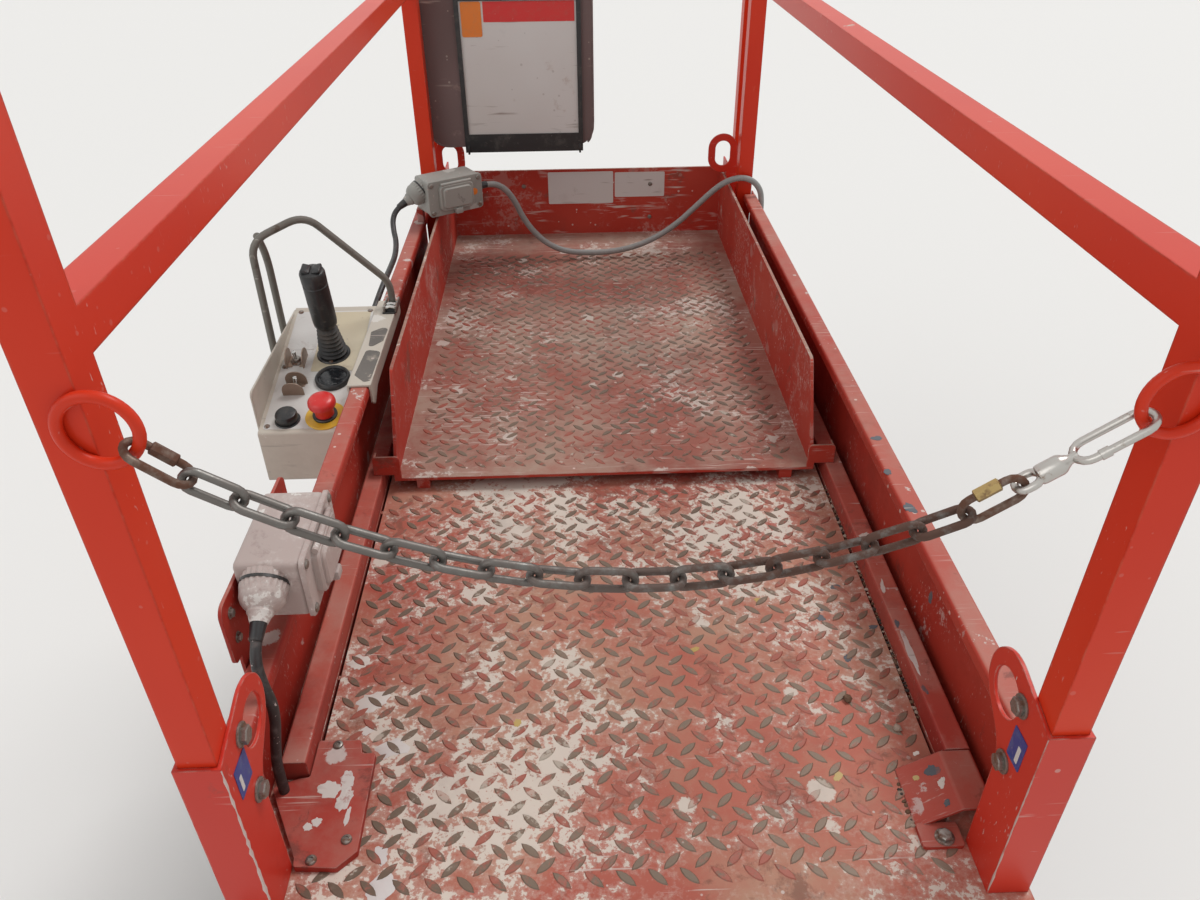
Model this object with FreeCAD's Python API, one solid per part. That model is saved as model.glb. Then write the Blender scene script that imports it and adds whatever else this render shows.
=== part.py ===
import FreeCAD, Part
import math
import os

V = FreeCAD.Vector

# An electric slab scissor lift seen from its entry end: +Y runs to the extension end, +X to the right,
# +Z up from the ground. Everything is in millimetres and degrees. The machine is modelled about the
# middle of its wheelbase and is moved to the middle of its box when it is written out.

# Chassis and wheels
wheel_base = 1320.0
half_width = 405.0
end_overhang = 190.0
tyre_radius = 161.5
tyre_width = 100.0
tyre_sides = 48
rim_radius = 104.2
spindle_radius = 17.5
running_gap = 0.4
seat_gap = 0.3
spine_half_width = 130.0
spine_bottom = 92.0
plate_thickness = 6.0
end_plate = 8.0
chassis_top = 440.0
front_underside = 372.0
kingpin_radius = 15.0
kingpin_housing_radius = 27.0
steer_arm_length = 105.0
steer_plate = 14.0
tray_bottom = 134.0
tray_front_clear = 265.0
tray_rear_clear = 220.0
tray_corner = 60.0
tray_round = 12.0
tray_hinge_out = 6.0
tray_hinge_back = 8.0
tray_hinge_z = (175.0, 335.0)
hinge_pin_radius = 6.0
guard_width = 85.0
guard_gap = 7.0
guard_pin_radius = 7.0
ladder_half_width = 185.0
ladder_tube = 15.0
ladder_reach = 49.0
ladder_low = 172.0
ladder_high = 815.0
pocket_width = 146.0
pocket_height = 66.0
pocket_depth = 340.0
pocket_wall = 4.0
lug_bore_radius = 16.0
lug_thickness = 12.0
lug_reach = 42.0

# Scissor stack
arm_height = 80.0
arm_width = 38.0
level_count = 4
level_pitch = 100.0
pin_radius = 18.0
bush_radius = 28.0
centre_pin_radius = 20.0
pin_head = 5.5
roller_radius = 25.0
roller_width = 20.0
lift_angle = 60.0
barrel_pin_station = 1100.0
barrel_pin_offset = -20.0
rod_pin_station = 540.0
rod_pin_offset = 20.0
barrel_radius = 42.0
rod_radius = 25.0
eye_radius = 38.0
cylinder_dead_length = 120.0
boss_height = 3.0
trunnion_gap = 0.6

# Roller channels of the chassis and of the platform
channel_flange = 6.0
roller_play = 0.3

# Platform
deck_thickness = 5.0
toe_sheet = 3.0
toe_height = 152.0
toe_lip = 28.0
toe_lip_drop = 14.0
toe_skirt = 55.0
toe_rear = 52.0
keeper_height = 28.0
keeper_rear_left = 153.0
keeper_rear_right = 140.0
post_size = 31.75
rail_wall = 2.6
mid_rail_top = 611.0
top_rail_top = 1100.0
near_post_y = 0.0
socket_sheet = 3.5
socket_gap = 0.3
socket_rim = 224.0
socket_foot = 0.3
lug_head_y = 104.0
lug_head_radius = 39.0
lug_hole = (68.0, 199.0, 24.0)
cover_thickness = 8.0
ring_radius = 24.0
ring_wire = 4.0
ring_inset = 6.5
ring_z = 545.0

# Extension deck
extension_sheet = 5.0
extension_top = 22.0
extension_near = 673.0
extension_wall_top = 170.0
extension_front_top = 178.0
extension_rake = 78.0
extension_rail = 25.4
extension_rail_rear = 480.0
foot_length = 24.0
foot_reach = 35.0
foot_top = 61.0
foot_sheet = 3.0
stop_gap = 2.0
front_lug = (26.5, 223.0, 33.0, 43.5)  # in from the post, up, half wide, half high
front_lug_hole = (17.0, 28.0)
lug_head_top = 256.0
lug_head_low = 183.0
lug_waist_z = 143.0
holder_frame_reach = (101.0, 153.0)
sign_inset = 5.5
bracket_lead = 46.0
bracket_length = 232.0
bracket_rise = 17.0
bracket_grip = 52.0
bracket_leg = 26.0
bracket_leg_inset = 16.0
bracket_near_height = 72.0
bracket_far_height = 66.0
holder_half_width = 181.0
holder_clear = 172.5
holder_low = 258.0
holder_depth = 32.0
holder_sheet = 4.0

# Controls, outlets and chain
control_rear = 720.0
control_front = 1030.0
control_reach = 150.0
control_low = -10.0
control_near_top = 80.0
control_far_top = 147.0
guard_loop_out = 9.0
guard_loop_radius = 6.0
outlet_size = (65.0, 120.0, 70.0)
outlet_rear = 205.0
outlet_low = 188.0
junction_inset = 14.0
junction_setback = 160.0
junction_turn = -58.0
gland_length = 44.0
gland_tilt = 25.0
chain_pitch = 29.4
chain_wire = 5.0
chain_low_z = 411.5
chain_low_x = 5.4
chain_curve = 0.001128
chain_start_inset = 46.5
chain_end_room = 133.0
chain_twist = 35.0
chain_bend = 6.6
tip_play = 1.0
ring_play = 1.2
quick_link_length = 44.4
quick_link_wire = 5.5
quick_link_bend = 9.5
cable_radius = 5.5
power_cable_radius = 6.5

# What follows from them
rear_axle_y = -wheel_base / 2
front_axle_y = wheel_base / 2
axle_z = tyre_radius
wheel_inner_x = half_width - tyre_width
kingpin_x = wheel_inner_x - 23
chassis_half_length = wheel_base / 2 + end_overhang
frame_top = chassis_top - plate_thickness
tray_front = front_axle_y - tray_front_clear
tray_rear = rear_axle_y + tray_rear_clear
tray_inner_x = spine_half_width + 12
tray_outer_x = half_width - 21
tray_top = frame_top - 10
toe_outer_x = half_width - 25
channel_outer_x = toe_outer_x - 20
channel_web_x = channel_outer_x - channel_flange
roller_x = channel_web_x - 4 - roller_width
channel_inner_x = roller_x - 4
outer_arm_x = roller_x - 16 - arm_width
inner_arm_x = outer_arm_x - 8 - arm_width
arm_length = 2 * chassis_half_length - 250
stack_bottom = chassis_top + 50
stack_top = stack_bottom + level_count * level_pitch
deck_z = stack_top + 90
deck_rear = -chassis_half_length - 25
deck_front = chassis_half_length - 95
entry_y = deck_rear + 30
toe_front = deck_front - entry_y
deck_half_width = toe_outer_x - toe_sheet - 0.4
post_inner_x = toe_outer_x - 42.5
post_outer_x = post_inner_x + post_size
slot_inner_x = post_inner_x - 3.5
slot_outer_x = slot_inner_x + 4
keeper_inner_x = slot_outer_x + 0.5
keeper_outer_x = slot_outer_x + 28
far_post_y = toe_front - 35
ring_x = post_inner_x - ring_inset
chain_start_x = chain_start_inset - ring_x
chain_count = round((2 * ring_x - chain_end_room) / chain_pitch)
holder_middle_x = holder_clear - post_inner_x
junction_corner = (junction_inset - toe_outer_x, toe_front - junction_setback)
keeper_front = far_post_y - 5
extension_half_width = post_inner_x - 20.5
extension_post_y = far_post_y + 76
extension_front = far_post_y + 120.5
extension_travel = far_post_y - stop_gap - foot_length - extension_near
control_outer_x = toe_outer_x + control_reach
rest_angle = math.asin(level_pitch / arm_length)
stack_rear = -arm_length / 2
ladder_y = -chassis_half_length - ladder_reach
left_reach = -control_outer_x - guard_loop_out - guard_loop_radius
front_reach = chassis_half_length + lug_reach
tray_hinge = (tray_outer_x + tray_hinge_out, tray_rear - tray_hinge_back)
lug_inner_x = channel_outer_x - 20
lug_y = chassis_half_length + 18
lug_z = chassis_top - 40
pocket_x = lug_inner_x - 2 - pocket_width / 2
pocket_low = frame_top - 6 - pocket_height
guard_hinge = (tray_outer_x - 10, tray_bottom - guard_gap - 9)
rod_y = front_axle_y - steer_arm_length
origin = V((left_reach + half_width) / 2, (ladder_y - ladder_tube + front_reach) / 2, 0)

left, right = -1, 1
nodes = {}


def box(x, y, z):
    """A block between the two ends of each pair."""
    return Part.makeBox(abs(x[1] - x[0]), abs(y[1] - y[0]), abs(z[1] - z[0]), V(min(x), min(y), min(z)))


def rod(start, end, radius):
    start, end = V(*start), V(*end)
    return Part.makeCylinder(radius, (end - start).Length, start, end - start)


def across(x0, x1, y, z, radius):
    return rod((x0, y, z), (x1, y, z), radius)


def rounded_face(corners, place):
    """A flat face from corners (u, v) or (u, v, radius); place turns u and v into a point in space."""
    points = [place(corner[0], corner[1]) for corner in corners]
    arcs, ends = [], []
    for index, here in enumerate(points):
        back = (here - points[index - 1]).normalize()
        ahead = (points[(index + 1) % len(points)] - here).normalize()
        radius = corners[index][2] if len(corners[index]) > 2 else 0
        half_turn = back.getAngle(ahead) / 2
        trim = radius * math.tan(half_turn)
        first, last = here - back * trim, here + ahead * trim
        ends.append((first, last))
        middle = here + (ahead - back).normalize() * (radius * (1 / math.cos(half_turn) - 1)) if radius else here
        arcs.append(Part.Arc(first, middle, last).toShape() if radius else None)
    edges = []
    for index, arc in enumerate(arcs):
        edges += [arc] if arc else []
        start, end = ends[index][1], ends[(index + 1) % len(ends)][0]
        if (end - start).Length > 0.001:
            edges.append(Part.LineSegment(start, end).toShape())
    return Part.Face(Part.Wire(edges))


def sheet_yz(corners, x0, x1):
    """An outline of (y, z) corners, given a thickness along X."""
    return rounded_face(corners, lambda u, v: V(x0, u, v)).extrude(V(x1 - x0, 0, 0))


def sheet_xz(corners, y0, y1):
    """An outline of (x, z) corners, given a thickness along Y."""
    return rounded_face(corners, lambda u, v: V(u, y0, v)).extrude(V(0, y1 - y0, 0))


def sheet_xy(corners, z0, z1):
    """An outline of (x, y) corners, given a thickness along Z."""
    return rounded_face(corners, lambda u, v: V(u, v, z0)).extrude(V(0, 0, z1 - z0))


def slab(u, v, radius):
    """The four corners of a rectangle between two pairs, all with the same rounding."""
    return [(u[0], v[0], radius), (u[1], v[0], radius), (u[1], v[1], radius), (u[0], v[1], radius)]


def turned(profile, start, axis):
    """A round form from (radius, height) points, set up along an axis from its start."""
    whole = [(0, profile[0][1])] + profile + [(0, profile[-1][1])]
    wire = Part.makePolygon([V(r, 0, h) for r, h in whole + whole[:1]])
    form = Part.Face(wire).revolve(V(0, 0, 0), V(0, 0, 1), 360)
    form.Placement = FreeCAD.Placement(V(*start), FreeCAD.Rotation(V(0, 0, 1), V(*axis)))
    return form


def fuse(shapes):
    whole = shapes[0].fuse(list(shapes[1:])) if len(shapes) > 1 else shapes[0]
    return whole.removeSplitter()


def mirrored(shape):
    return shape.mirror(V(0, 0, 0), V(1, 0, 0))


def both_sides(shape):
    return [shape, mirrored(shape)]


def on_side(shape, side):
    return shape if side == right else mirrored(shape)


def on_deck(y, z=0.0):
    """Platform measures start at the near posts' outer face and at the deck's top."""
    return entry_y + y, deck_z + z


def closed_solid(faces):
    solid = Part.makeSolid(Part.makeShell(faces))
    if solid.Volume < 0:
        solid.reverse()
    return solid


def flat_face(points):
    return Part.Face(Part.makePolygon(points + points[:1]))


def faceted_loop(path, radius, sides=6):
    """A ring of flat-faced wire along a closed path in XY, mitred at each station."""
    stations = []
    for index, here in enumerate(path):
        back = (here - path[index - 1]).normalize()
        ahead = (path[(index + 1) % len(path)] - here).normalize()
        stretch = 1 / math.cos(back.getAngle(ahead) / 2)
        along = (back + ahead).normalize()
        outward = V(along.y, -along.x, 0) * stretch
        angles = [2 * math.pi * side / sides for side in range(sides)]
        stations.append([here + outward * (radius * math.cos(a)) + V(0, 0, radius * math.sin(a)) for a in angles])
    faces = []
    for index, ring in enumerate(stations):
        last = stations[index - 1]
        for side in range(sides):
            following = (side + 1) % sides
            faces.append(flat_face([last[side], last[following], ring[following], ring[side]]))
    return closed_solid(faces)


def round_path(radius, count):
    angles = [2 * math.pi * index / count for index in range(count)]
    return [V(radius * math.cos(a), radius * math.sin(a), 0) for a in angles]


def oval_path(start, length, bend):
    """A long loop along X whose wire's middle starts at the given x; each end is a half round."""
    path = []
    for middle, first in ((start + length - bend, -90), (start + bend, 90)):
        for step in range(5):
            a = math.radians(first + 45 * step)
            path.append(V(middle + bend * math.cos(a), bend * math.sin(a), 0))
    return path


def corner_trims(points):
    """How far each inner corner's arc reaches along its two runs, and its radius."""
    corners = []
    for before, here, after in zip(points, points[1:], points[2:]):
        back, ahead = here - before, after - here
        turn = back.getAngle(ahead)
        trim = 0.45 * min(back.Length, ahead.Length)
        corners.append((trim, trim / math.tan(turn / 2), turn))
    return corners


def routed_tube(points, radius, name=None):
    """Straight runs joined by tangent arcs that are as large as the runs allow."""
    points = [V(*p) for p in points]
    corners = corner_trims(points)
    edges = []
    start = points[0]
    for here, after, (trim, arc_radius, turn) in zip(points[1:], points[2:], corners):
        back = (here - start).normalize()
        ahead = (after - here).normalize()
        first, last = here - back * trim, here + ahead * trim
        middle = here + (ahead - back).normalize() * (arc_radius * (1 / math.cos(turn / 2) - 1))
        edges += [Part.LineSegment(start, first).toShape(), Part.Arc(first, middle, last).toShape()]
        start = last
    edges.append(Part.LineSegment(start, points[-1]).toShape())
    path = Part.Wire(edges)
    ring = Part.Wire(Part.makeCircle(radius, points[0], points[1] - points[0]))
    tube = path.makePipeShell([ring], True, False)
    if name:
        area = math.pi * radius * radius
        radii = ", ".join("%.0f" % c[1] for c in corners)
        print(name, "length %.0f, volume ratio %.4f," % (path.Length, tube.Volume / (area * path.Length)),
              "arc radii", radii)
    return tube


# Chassis

def channel(z_middle, y0, y1):
    """A side channel that opens inwards, in which a roller of the stack runs."""
    low = z_middle - roller_radius - roller_play
    high = z_middle + roller_radius + roller_play
    outline = [(channel_inner_x, low - channel_flange), (channel_outer_x, low - channel_flange),
               (channel_outer_x, high + channel_flange), (channel_inner_x, high + channel_flange),
               (channel_inner_x, high), (channel_web_x, high), (channel_web_x, low), (channel_inner_x, low)]
    return sheet_xz(outline, y0, y1)


def chassis_spine():
    """The hollow box between the trays, closed by a plate at each end; the tie rod passes through it."""
    long = (-chassis_half_length, chassis_half_length)
    outer = box((-spine_half_width, spine_half_width), long, (spine_bottom, frame_top))
    inside = spine_half_width - plate_thickness
    hollow = box((-inside, inside), (long[0] + plate_thickness, long[1] - plate_thickness),
                 (spine_bottom + plate_thickness, frame_top - plate_thickness))
    window = box((-spine_half_width - 1, spine_half_width + 1), (rod_y - 16, rod_y + 70),
                 (front_underside - 44, front_underside - 14))
    return outer.cut(hollow).cut(window)


def end_plates():
    """The plates across both ends above the wheels, and the panel below the rear one."""
    low = front_underside - 20
    rear, front = -chassis_half_length, chassis_half_length - end_plate
    plates = [box((-channel_outer_x, channel_outer_x), (y, y + end_plate), (low, frame_top)) for y in (rear, front)]
    reach = wheel_inner_x - 20
    panel = slab((-reach, reach), (spine_bottom + 28, low + 1), 0)
    panel[0], panel[1] = panel[0][:2] + (24,), panel[1][:2] + (24,)
    return plates + [sheet_xz(panel, rear, rear + end_plate)]


def tray_bulkheads():
    """The plates before and behind each tray, which carry its hinge and the pothole guard's pivots."""
    low = guard_hinge[1] - 14
    reach = tray_outer_x - 2
    made = []
    for y in (tray_rear - 24, tray_front + 28):
        plate = [(spine_half_width - 1, low), (reach, low, 14), (reach, frame_top), (spine_half_width - 1, frame_top)]
        made += both_sides(sheet_xz(plate, y, y + 8))
    for z in tray_hinge_z:
        x, y = tray_hinge
        made += both_sides(box((reach - 12, x + 6), (tray_rear - 24, y + 6), (z - 12, z - 1)))
        made += both_sides(rod((x, y, z - 12), (x, y, z + 46), hinge_pin_radius))
    plates = fuse(made)
    x, z = guard_hinge
    for piece in both_sides(rod((x, tray_rear - 40, z), (x, tray_front + 60, z), guard_pin_radius + running_gap)):
        plates = plates.cut(piece)
    return plates


def fork_pockets():
    """Two rectangular tubes in the ladder end that a truck's forks slide into: outer and inner forms."""
    low, high = pocket_low, pocket_low + pocket_height
    rear = -chassis_half_length
    tubes = []
    for side in (left, right):
        near, far = side * (pocket_x - pocket_width / 2), side * (pocket_x + pocket_width / 2)
        outer = box((near - side * pocket_wall, far + side * pocket_wall), (rear, rear + pocket_depth),
                    (low - pocket_wall, high + pocket_wall))
        tubes.append((outer, box((near, far), (rear - 1, rear + pocket_depth + 1), (low, high))))
    return tubes


def kingpin_housing():
    tube = rod((kingpin_x, front_axle_y, front_underside), (kingpin_x, front_axle_y, frame_top),
               kingpin_housing_radius)
    bore = rod((kingpin_x, front_axle_y, front_underside - 1), (kingpin_x, front_axle_y, frame_top - 10),
               kingpin_radius + running_gap)
    beam = box((spine_half_width - 1, kingpin_x), (front_axle_y - 22, front_axle_y + 22),
               (front_underside, frame_top))
    return tube.fuse(beam).cut(bore)


def rear_axle():
    tube = across(-wheel_inner_x + 14, wheel_inner_x - 14, rear_axle_y, axle_z, 32)
    spindle = across(-half_width + 12, half_width - 12, rear_axle_y, axle_z, spindle_radius)
    return [tube, spindle]


def tie_down_lugs():
    """Four ears with round holes at the chassis corners, for tying down and lifting."""
    ears = []
    for end in (-1, 1):
        base, tip = end * (chassis_half_length - 1), end * (chassis_half_length + lug_reach)
        corners = [(base, lug_z - 30), (tip, lug_z - 30, 20), (tip, lug_z + 30, 20), (base, lug_z + 30)]
        ear = sheet_yz(corners, lug_inner_x, lug_inner_x + lug_thickness)
        ears += both_sides(ear.cut(across(0, 2 * half_width, end * lug_y, lug_z, lug_bore_radius)))
    return ears


def chassis_frame():
    pockets = fork_pockets()
    parts = [chassis_spine(), tray_bulkheads()] + end_plates() + [outer for outer, inner in pockets]
    frame = fuse(parts + both_sides(kingpin_housing()) + rear_axle() + tie_down_lugs())
    for outer, inner in pockets:
        frame = frame.cut(inner)
    return frame


def chassis_deck():
    """The plate over the trays and wheels, its raised side channels and the stack's cross shaft."""
    long = (-chassis_half_length, chassis_half_length)
    top = box((-channel_outer_x, channel_outer_x), long, (frame_top, chassis_top))
    seat_top = stack_bottom - roller_radius - roller_play - channel_flange
    seat = box((channel_outer_x - 20, channel_outer_x), long, (chassis_top, seat_top))
    rail = channel(stack_bottom, *long)
    shaft = across(-channel_web_x - 1, channel_web_x + 1, stack_rear, stack_bottom, pin_radius)
    return fuse([top, shaft] + both_sides(seat) + both_sides(rail))


def entry_ladder():
    """Two side bars of square tube with three rungs, on feet from the rear plate."""
    middle = ladder_half_width - ladder_tube
    deep = (ladder_y - ladder_tube, ladder_y + ladder_tube)
    bars = both_sides(box((middle - ladder_tube, ladder_half_width), deep, (ladder_low, ladder_high)))
    heights = [ladder_low + ladder_tube, (ladder_low + ladder_high) / 2, ladder_high - ladder_tube]
    rungs = [box((-middle, middle), deep, (z - ladder_tube, z + ladder_tube)) for z in heights]
    feet = []
    for z in (heights[0], frame_top - 34):
        foot = box((middle - 11, middle + 11), (ladder_y, -chassis_half_length), (z - 11, z + 11))
        feet += both_sides(foot)
    return fuse(bars + rungs + feet)


def tray_outline(inset):
    """The tray seen from above; its inner front corner is cut off so that it clears the bulkhead as it swings."""
    x0, x1 = tray_inner_x + inset, tray_outer_x - inset
    y0, y1 = tray_rear + inset, tray_front - inset
    return [(x0, y0), (x1, y0, tray_round - inset), (x1, y1, tray_round - inset), (x0 + tray_corner, y1),
            (x0, y1 - tray_corner)]


def side_tray(side):
    """A swing-out box with a hollow inside that holds the heavy block of batteries or of pump and tank."""
    wall = 3.0
    shell = sheet_xy(tray_outline(0), tray_bottom, tray_top)
    shell = shell.cut(sheet_xy(tray_outline(wall), tray_bottom + wall, tray_top - wall))
    mass = box((tray_inner_x + 20, tray_outer_x - 20), (tray_rear + 40, tray_front - 80),
               (tray_bottom + 1, tray_bottom + 225))
    x, y = tray_hinge
    knuckles = [rod((x, y, z), (x, y, z + 40), 10) for z in tray_hinge_z]
    webs = [box((tray_outer_x - 14, x - 2), (y - 4, tray_rear + 2), (z, z + 40)) for z in tray_hinge_z]
    tray = fuse([shell, mass] + knuckles + webs)
    for z in tray_hinge_z:
        tray = tray.cut(rod((x, y, z - 1), (x, y, z + 50), hinge_pin_radius + running_gap))
    return on_side(tray, side)


def pothole_guard(side):
    """A plate folded flat under the tray, which swings down about its outer edge when the platform rises."""
    x, z = guard_hinge
    y0, y1 = tray_rear - 12, tray_front + 24
    plate = sheet_xy([(x - guard_width, y0, 12), (x, y0), (x, y1), (x - guard_width, y1, 12)], z - 3, z + 3)
    edge = box((x - guard_width, x - guard_width + 5), (y0 + 12, y1 - 12), (z - 3, z + 9))
    pin = rod((x, tray_rear - 28, z), (x, tray_front + 40, z), guard_pin_radius)
    return on_side(fuse([plate, edge, pin]), side)


def build_chassis():
    nodes["chassis_frame"] = chassis_frame()
    nodes["chassis_deck"] = chassis_deck()
    nodes["entry_ladder"] = entry_ladder()
    for side, name in ((left, "left"), (right, "right")):
        nodes["tray_" + name] = side_tray(side)
        nodes["pothole_guard_" + name] = pothole_guard(side)


# Wheels and steering

def tyre(side, axle_y):
    """A solid tyre built from flat faces: tread, shoulders, sides and bore."""
    shoulder = 12.0
    profile = [(wheel_inner_x, rim_radius), (wheel_inner_x, tyre_radius - shoulder),
               (wheel_inner_x + shoulder, tyre_radius), (half_width - shoulder, tyre_radius),
               (half_width, tyre_radius - shoulder), (half_width, rim_radius)]
    rings = []
    for step in range(tyre_sides):
        a = 2 * math.pi * step / tyre_sides
        rings.append([V(x, axle_y + r * math.cos(a), axle_z + r * math.sin(a)) for x, r in profile])
    faces = []
    for index, ring in enumerate(rings):
        last = rings[index - 1]
        for corner in range(len(profile)):
            following = (corner + 1) % len(profile)
            faces.append(flat_face([last[corner], last[following], ring[following], ring[corner]]))
    return on_side(closed_solid(faces), side)


def hub(side, axle_y):
    """A dished steel disc in the tyre's bore with a hub around the spindle."""
    rim = rim_radius * math.cos(math.pi / tyre_sides) - 0.2
    x0, x1 = wheel_inner_x + 8, half_width - 8
    dish = half_width - 34
    bore = spindle_radius + running_gap
    points = [(x0, rim - 8), (x0, rim), (x1, rim), (x1, rim - 8), (dish + 10, rim - 12), (dish + 10, 44),
              (x1 - 10, 38), (x1 - 10, bore), (x0, bore), (x0, 44), (dish, 50), (dish, rim - 12)]
    wire = Part.makePolygon([V(x, axle_y, axle_z + r) for x, r in points + points[:1]])
    disc = Part.Face(wire).revolve(V(0, axle_y, axle_z), V(1, 0, 0), 360)
    return on_side(disc, side)


def knuckle(side):
    """Kingpin, top plate with the steering arm, side plate, spindle and drive motor."""
    plate_top = front_underside - 7
    low = plate_top - steer_plate
    pin = rod((kingpin_x, front_axle_y, low - 6), (kingpin_x, front_axle_y, frame_top - 14), kingpin_radius)
    arm = box((kingpin_x - 16, kingpin_x + 12), (rod_y, front_axle_y + 40), (low, plate_top))
    side_plate = box((kingpin_x - 8, kingpin_x + 12), (front_axle_y - 45, front_axle_y + 45), (axle_z - 60, low))
    motor = across(kingpin_x - 85, kingpin_x, front_axle_y, axle_z, 48)
    spindle = across(kingpin_x, half_width - 12, front_axle_y, axle_z, spindle_radius)
    end = rod((kingpin_x, rod_y, low), (kingpin_x, rod_y, plate_top), 16)
    stud = rod((kingpin_x, rod_y, plate_top - 30), (kingpin_x, rod_y, plate_top), 7)
    return on_side(fuse([pin, arm, side_plate, motor, spindle, end, stud]), side)


def tie_rod():
    """The bar that makes both front wheels turn alike, with an eye on each steering arm's stud."""
    top = front_underside - 7 - steer_plate - 1
    low = top - 14
    eyes = [rod((x, rod_y, low), (x, rod_y, top), 15) for x in (-kingpin_x, kingpin_x)]
    bar = fuse([box((-kingpin_x, kingpin_x), (rod_y - 8, rod_y + 8), (low, top))] + eyes)
    for x in (-kingpin_x, kingpin_x):
        bar = bar.cut(rod((x, rod_y, low - 6), (x, rod_y, top + 5), 7 + running_gap))
    return bar


def build_wheels():
    for end, axle_y in (("rear", rear_axle_y), ("front", front_axle_y)):
        for side, name in ((left, "left"), (right, "right")):
            nodes["tyre_%s_%s" % (end, name)] = tyre(side, axle_y)
            nodes["hub_%s_%s" % (end, name)] = hub(side, axle_y)
    nodes["knuckle_left"] = knuckle(left)
    nodes["knuckle_right"] = knuckle(right)
    nodes["tie_rod"] = tie_rod()


# Scissor stack

def arm_point(level, slope, station, offset=0.0):
    """A point on an arm at rest: slope 1 rises to the front, -1 falls to the front."""
    angle = slope * rest_angle
    low = level - 1 if slope > 0 else level
    y = stack_rear + station * math.cos(angle) - offset * math.sin(angle)
    z = stack_bottom + low * level_pitch + station * math.sin(angle) + offset * math.cos(angle)
    return y, z


def arm_bar(level, slope, x0):
    """One straight arm with round ends."""
    half = arm_height / 2
    points = [arm_point(level, slope, s, n) for s, n in
              ((0, half), (arm_length, half), (arm_length + half, 0), (arm_length, -half), (0, -half), (-half, 0))]
    a, b, c, d, e, f = [V(x0, y, z) for y, z in points]
    outline = Part.Wire([Part.LineSegment(a, b).toShape(), Part.Arc(b, c, d).toShape(),
                         Part.LineSegment(d, e).toShape(), Part.Arc(e, f, a).toShape()])
    return Part.Face(outline).extrude(V(arm_width, 0, 0))


def inner_pair(level):
    """The inner arms: joined by a bush tube at each end, with a stub pin at the middle of each."""
    bars = both_sides(arm_bar(level, 1, inner_arm_x))
    rear = arm_point(level, 1, 0)
    front = arm_point(level, 1, arm_length)
    middle = arm_point(level, 1, arm_length / 2)
    reach = inner_arm_x + arm_width
    tubes = [across(-reach, reach, y, z, bush_radius) for y, z in (rear, front)]
    pair = fuse(bars + tubes)
    bores = [rear] if level == level_count else [rear, front]
    for y, z in bores:
        pair = pair.cut(across(-reach - 1, reach + 1, y, z, pin_radius + running_gap))
    outer = outer_arm_x + arm_width
    stub = fuse([across(reach - 1, outer + pin_head, *middle, centre_pin_radius),
                 across(outer + 0.5, outer + pin_head, *middle, centre_pin_radius + 10)])
    extras = both_sides(stub)
    if level == level_count:
        extras += both_sides(roller_on_pin(front, reach - 1))
    if level == 1:
        extras.append(across(-reach + 1, reach - 1, *arm_point(1, 1, barrel_pin_station, barrel_pin_offset),
                             pin_radius))
    if level == 2:
        boss = across(inner_arm_x - boss_height, inner_arm_x + 1, *arm_point(2, 1, rod_pin_station, rod_pin_offset), 30)
        extras += both_sides(boss)
    return fuse([pair] + extras)


def roller_on_pin(centre, inner_x):
    pin = across(inner_x, roller_x + roller_width, *centre, pin_radius)
    wheel = across(roller_x, roller_x + roller_width, *centre, roller_radius)
    return pin.fuse(wheel)


def outer_pair(level):
    """The outer arms: joined by shafts that pass through the inner arms' bush tubes."""
    bars = both_sides(arm_bar(level, -1, outer_arm_x))
    rear = arm_point(level, -1, 0)
    front = arm_point(level, -1, arm_length)
    middle = arm_point(level, -1, arm_length / 2)
    reach = outer_arm_x + arm_width
    bore_radius = centre_pin_radius + running_gap
    pair = fuse(bars + [across(-reach - pin_head, reach + pin_head, *rear, pin_radius),
                        across(-reach + 1, reach - 1, *front, pin_radius)])
    pair = pair.cut(fuse([across(outer_arm_x - 1, reach + 1, *middle, bore_radius),
                          across(-reach - 1, -outer_arm_x + 1, *middle, bore_radius)]))
    extras = []
    if level == 1:
        extras += both_sides(roller_on_pin(front, reach - 1))
    if level == level_count:
        extras += both_sides(across(reach - 1, channel_outer_x + 2, *rear, pin_radius))
    return fuse([pair] + extras)


def lift_barrel():
    """The cylinder's barrel, its eye round the cross shaft of the lowest inner arms."""
    start = V(0, *arm_point(1, 1, barrel_pin_station, barrel_pin_offset))
    end = V(0, *arm_point(2, 1, rod_pin_station, rod_pin_offset))
    along = (end - start).normalize()
    span = (end - start).Length
    mouth = start + along * (span - 75)
    body = Part.makeCylinder(barrel_radius, span - 75 - 20, start + along * 20, along)
    eye = across(-30, 30, start.y, start.z, eye_radius)
    bore = across(-40, 40, start.y, start.z, pin_radius + running_gap)
    depth = span - 75 - 70
    inside = Part.makeCylinder(rod_radius + 1.5, depth + 1, mouth - along * depth, along)
    return body.fuse(eye).cut(bore).cut(inside)


def lift_rod():
    """The rod with its cross shaft between the second inner arms, clear of their bosses."""
    start = V(0, *arm_point(1, 1, barrel_pin_station, barrel_pin_offset))
    end = V(0, *arm_point(2, 1, rod_pin_station, rod_pin_offset))
    along = (end - start).normalize()
    span = (end - start).Length
    shank = Part.makeCylinder(rod_radius, span - cylinder_dead_length, start + along * cylinder_dead_length, along)
    eye = across(-30, 30, end.y, end.z, eye_radius - 4)
    reach = inner_arm_x - boss_height - trunnion_gap
    shaft = across(-reach, reach, end.y, end.z, pin_radius)
    return fuse([shank, eye, shaft])


def build_stack():
    for level in range(1, level_count + 1):
        nodes["arms_inner_%d" % level] = inner_pair(level)
        nodes["arms_outer_%d" % level] = outer_pair(level)
    nodes["lift_barrel"] = lift_barrel()
    nodes["lift_rod"] = lift_rod()


# Platform

def keeper_rear(side):
    return keeper_rear_left if side == left else keeper_rear_right


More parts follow.
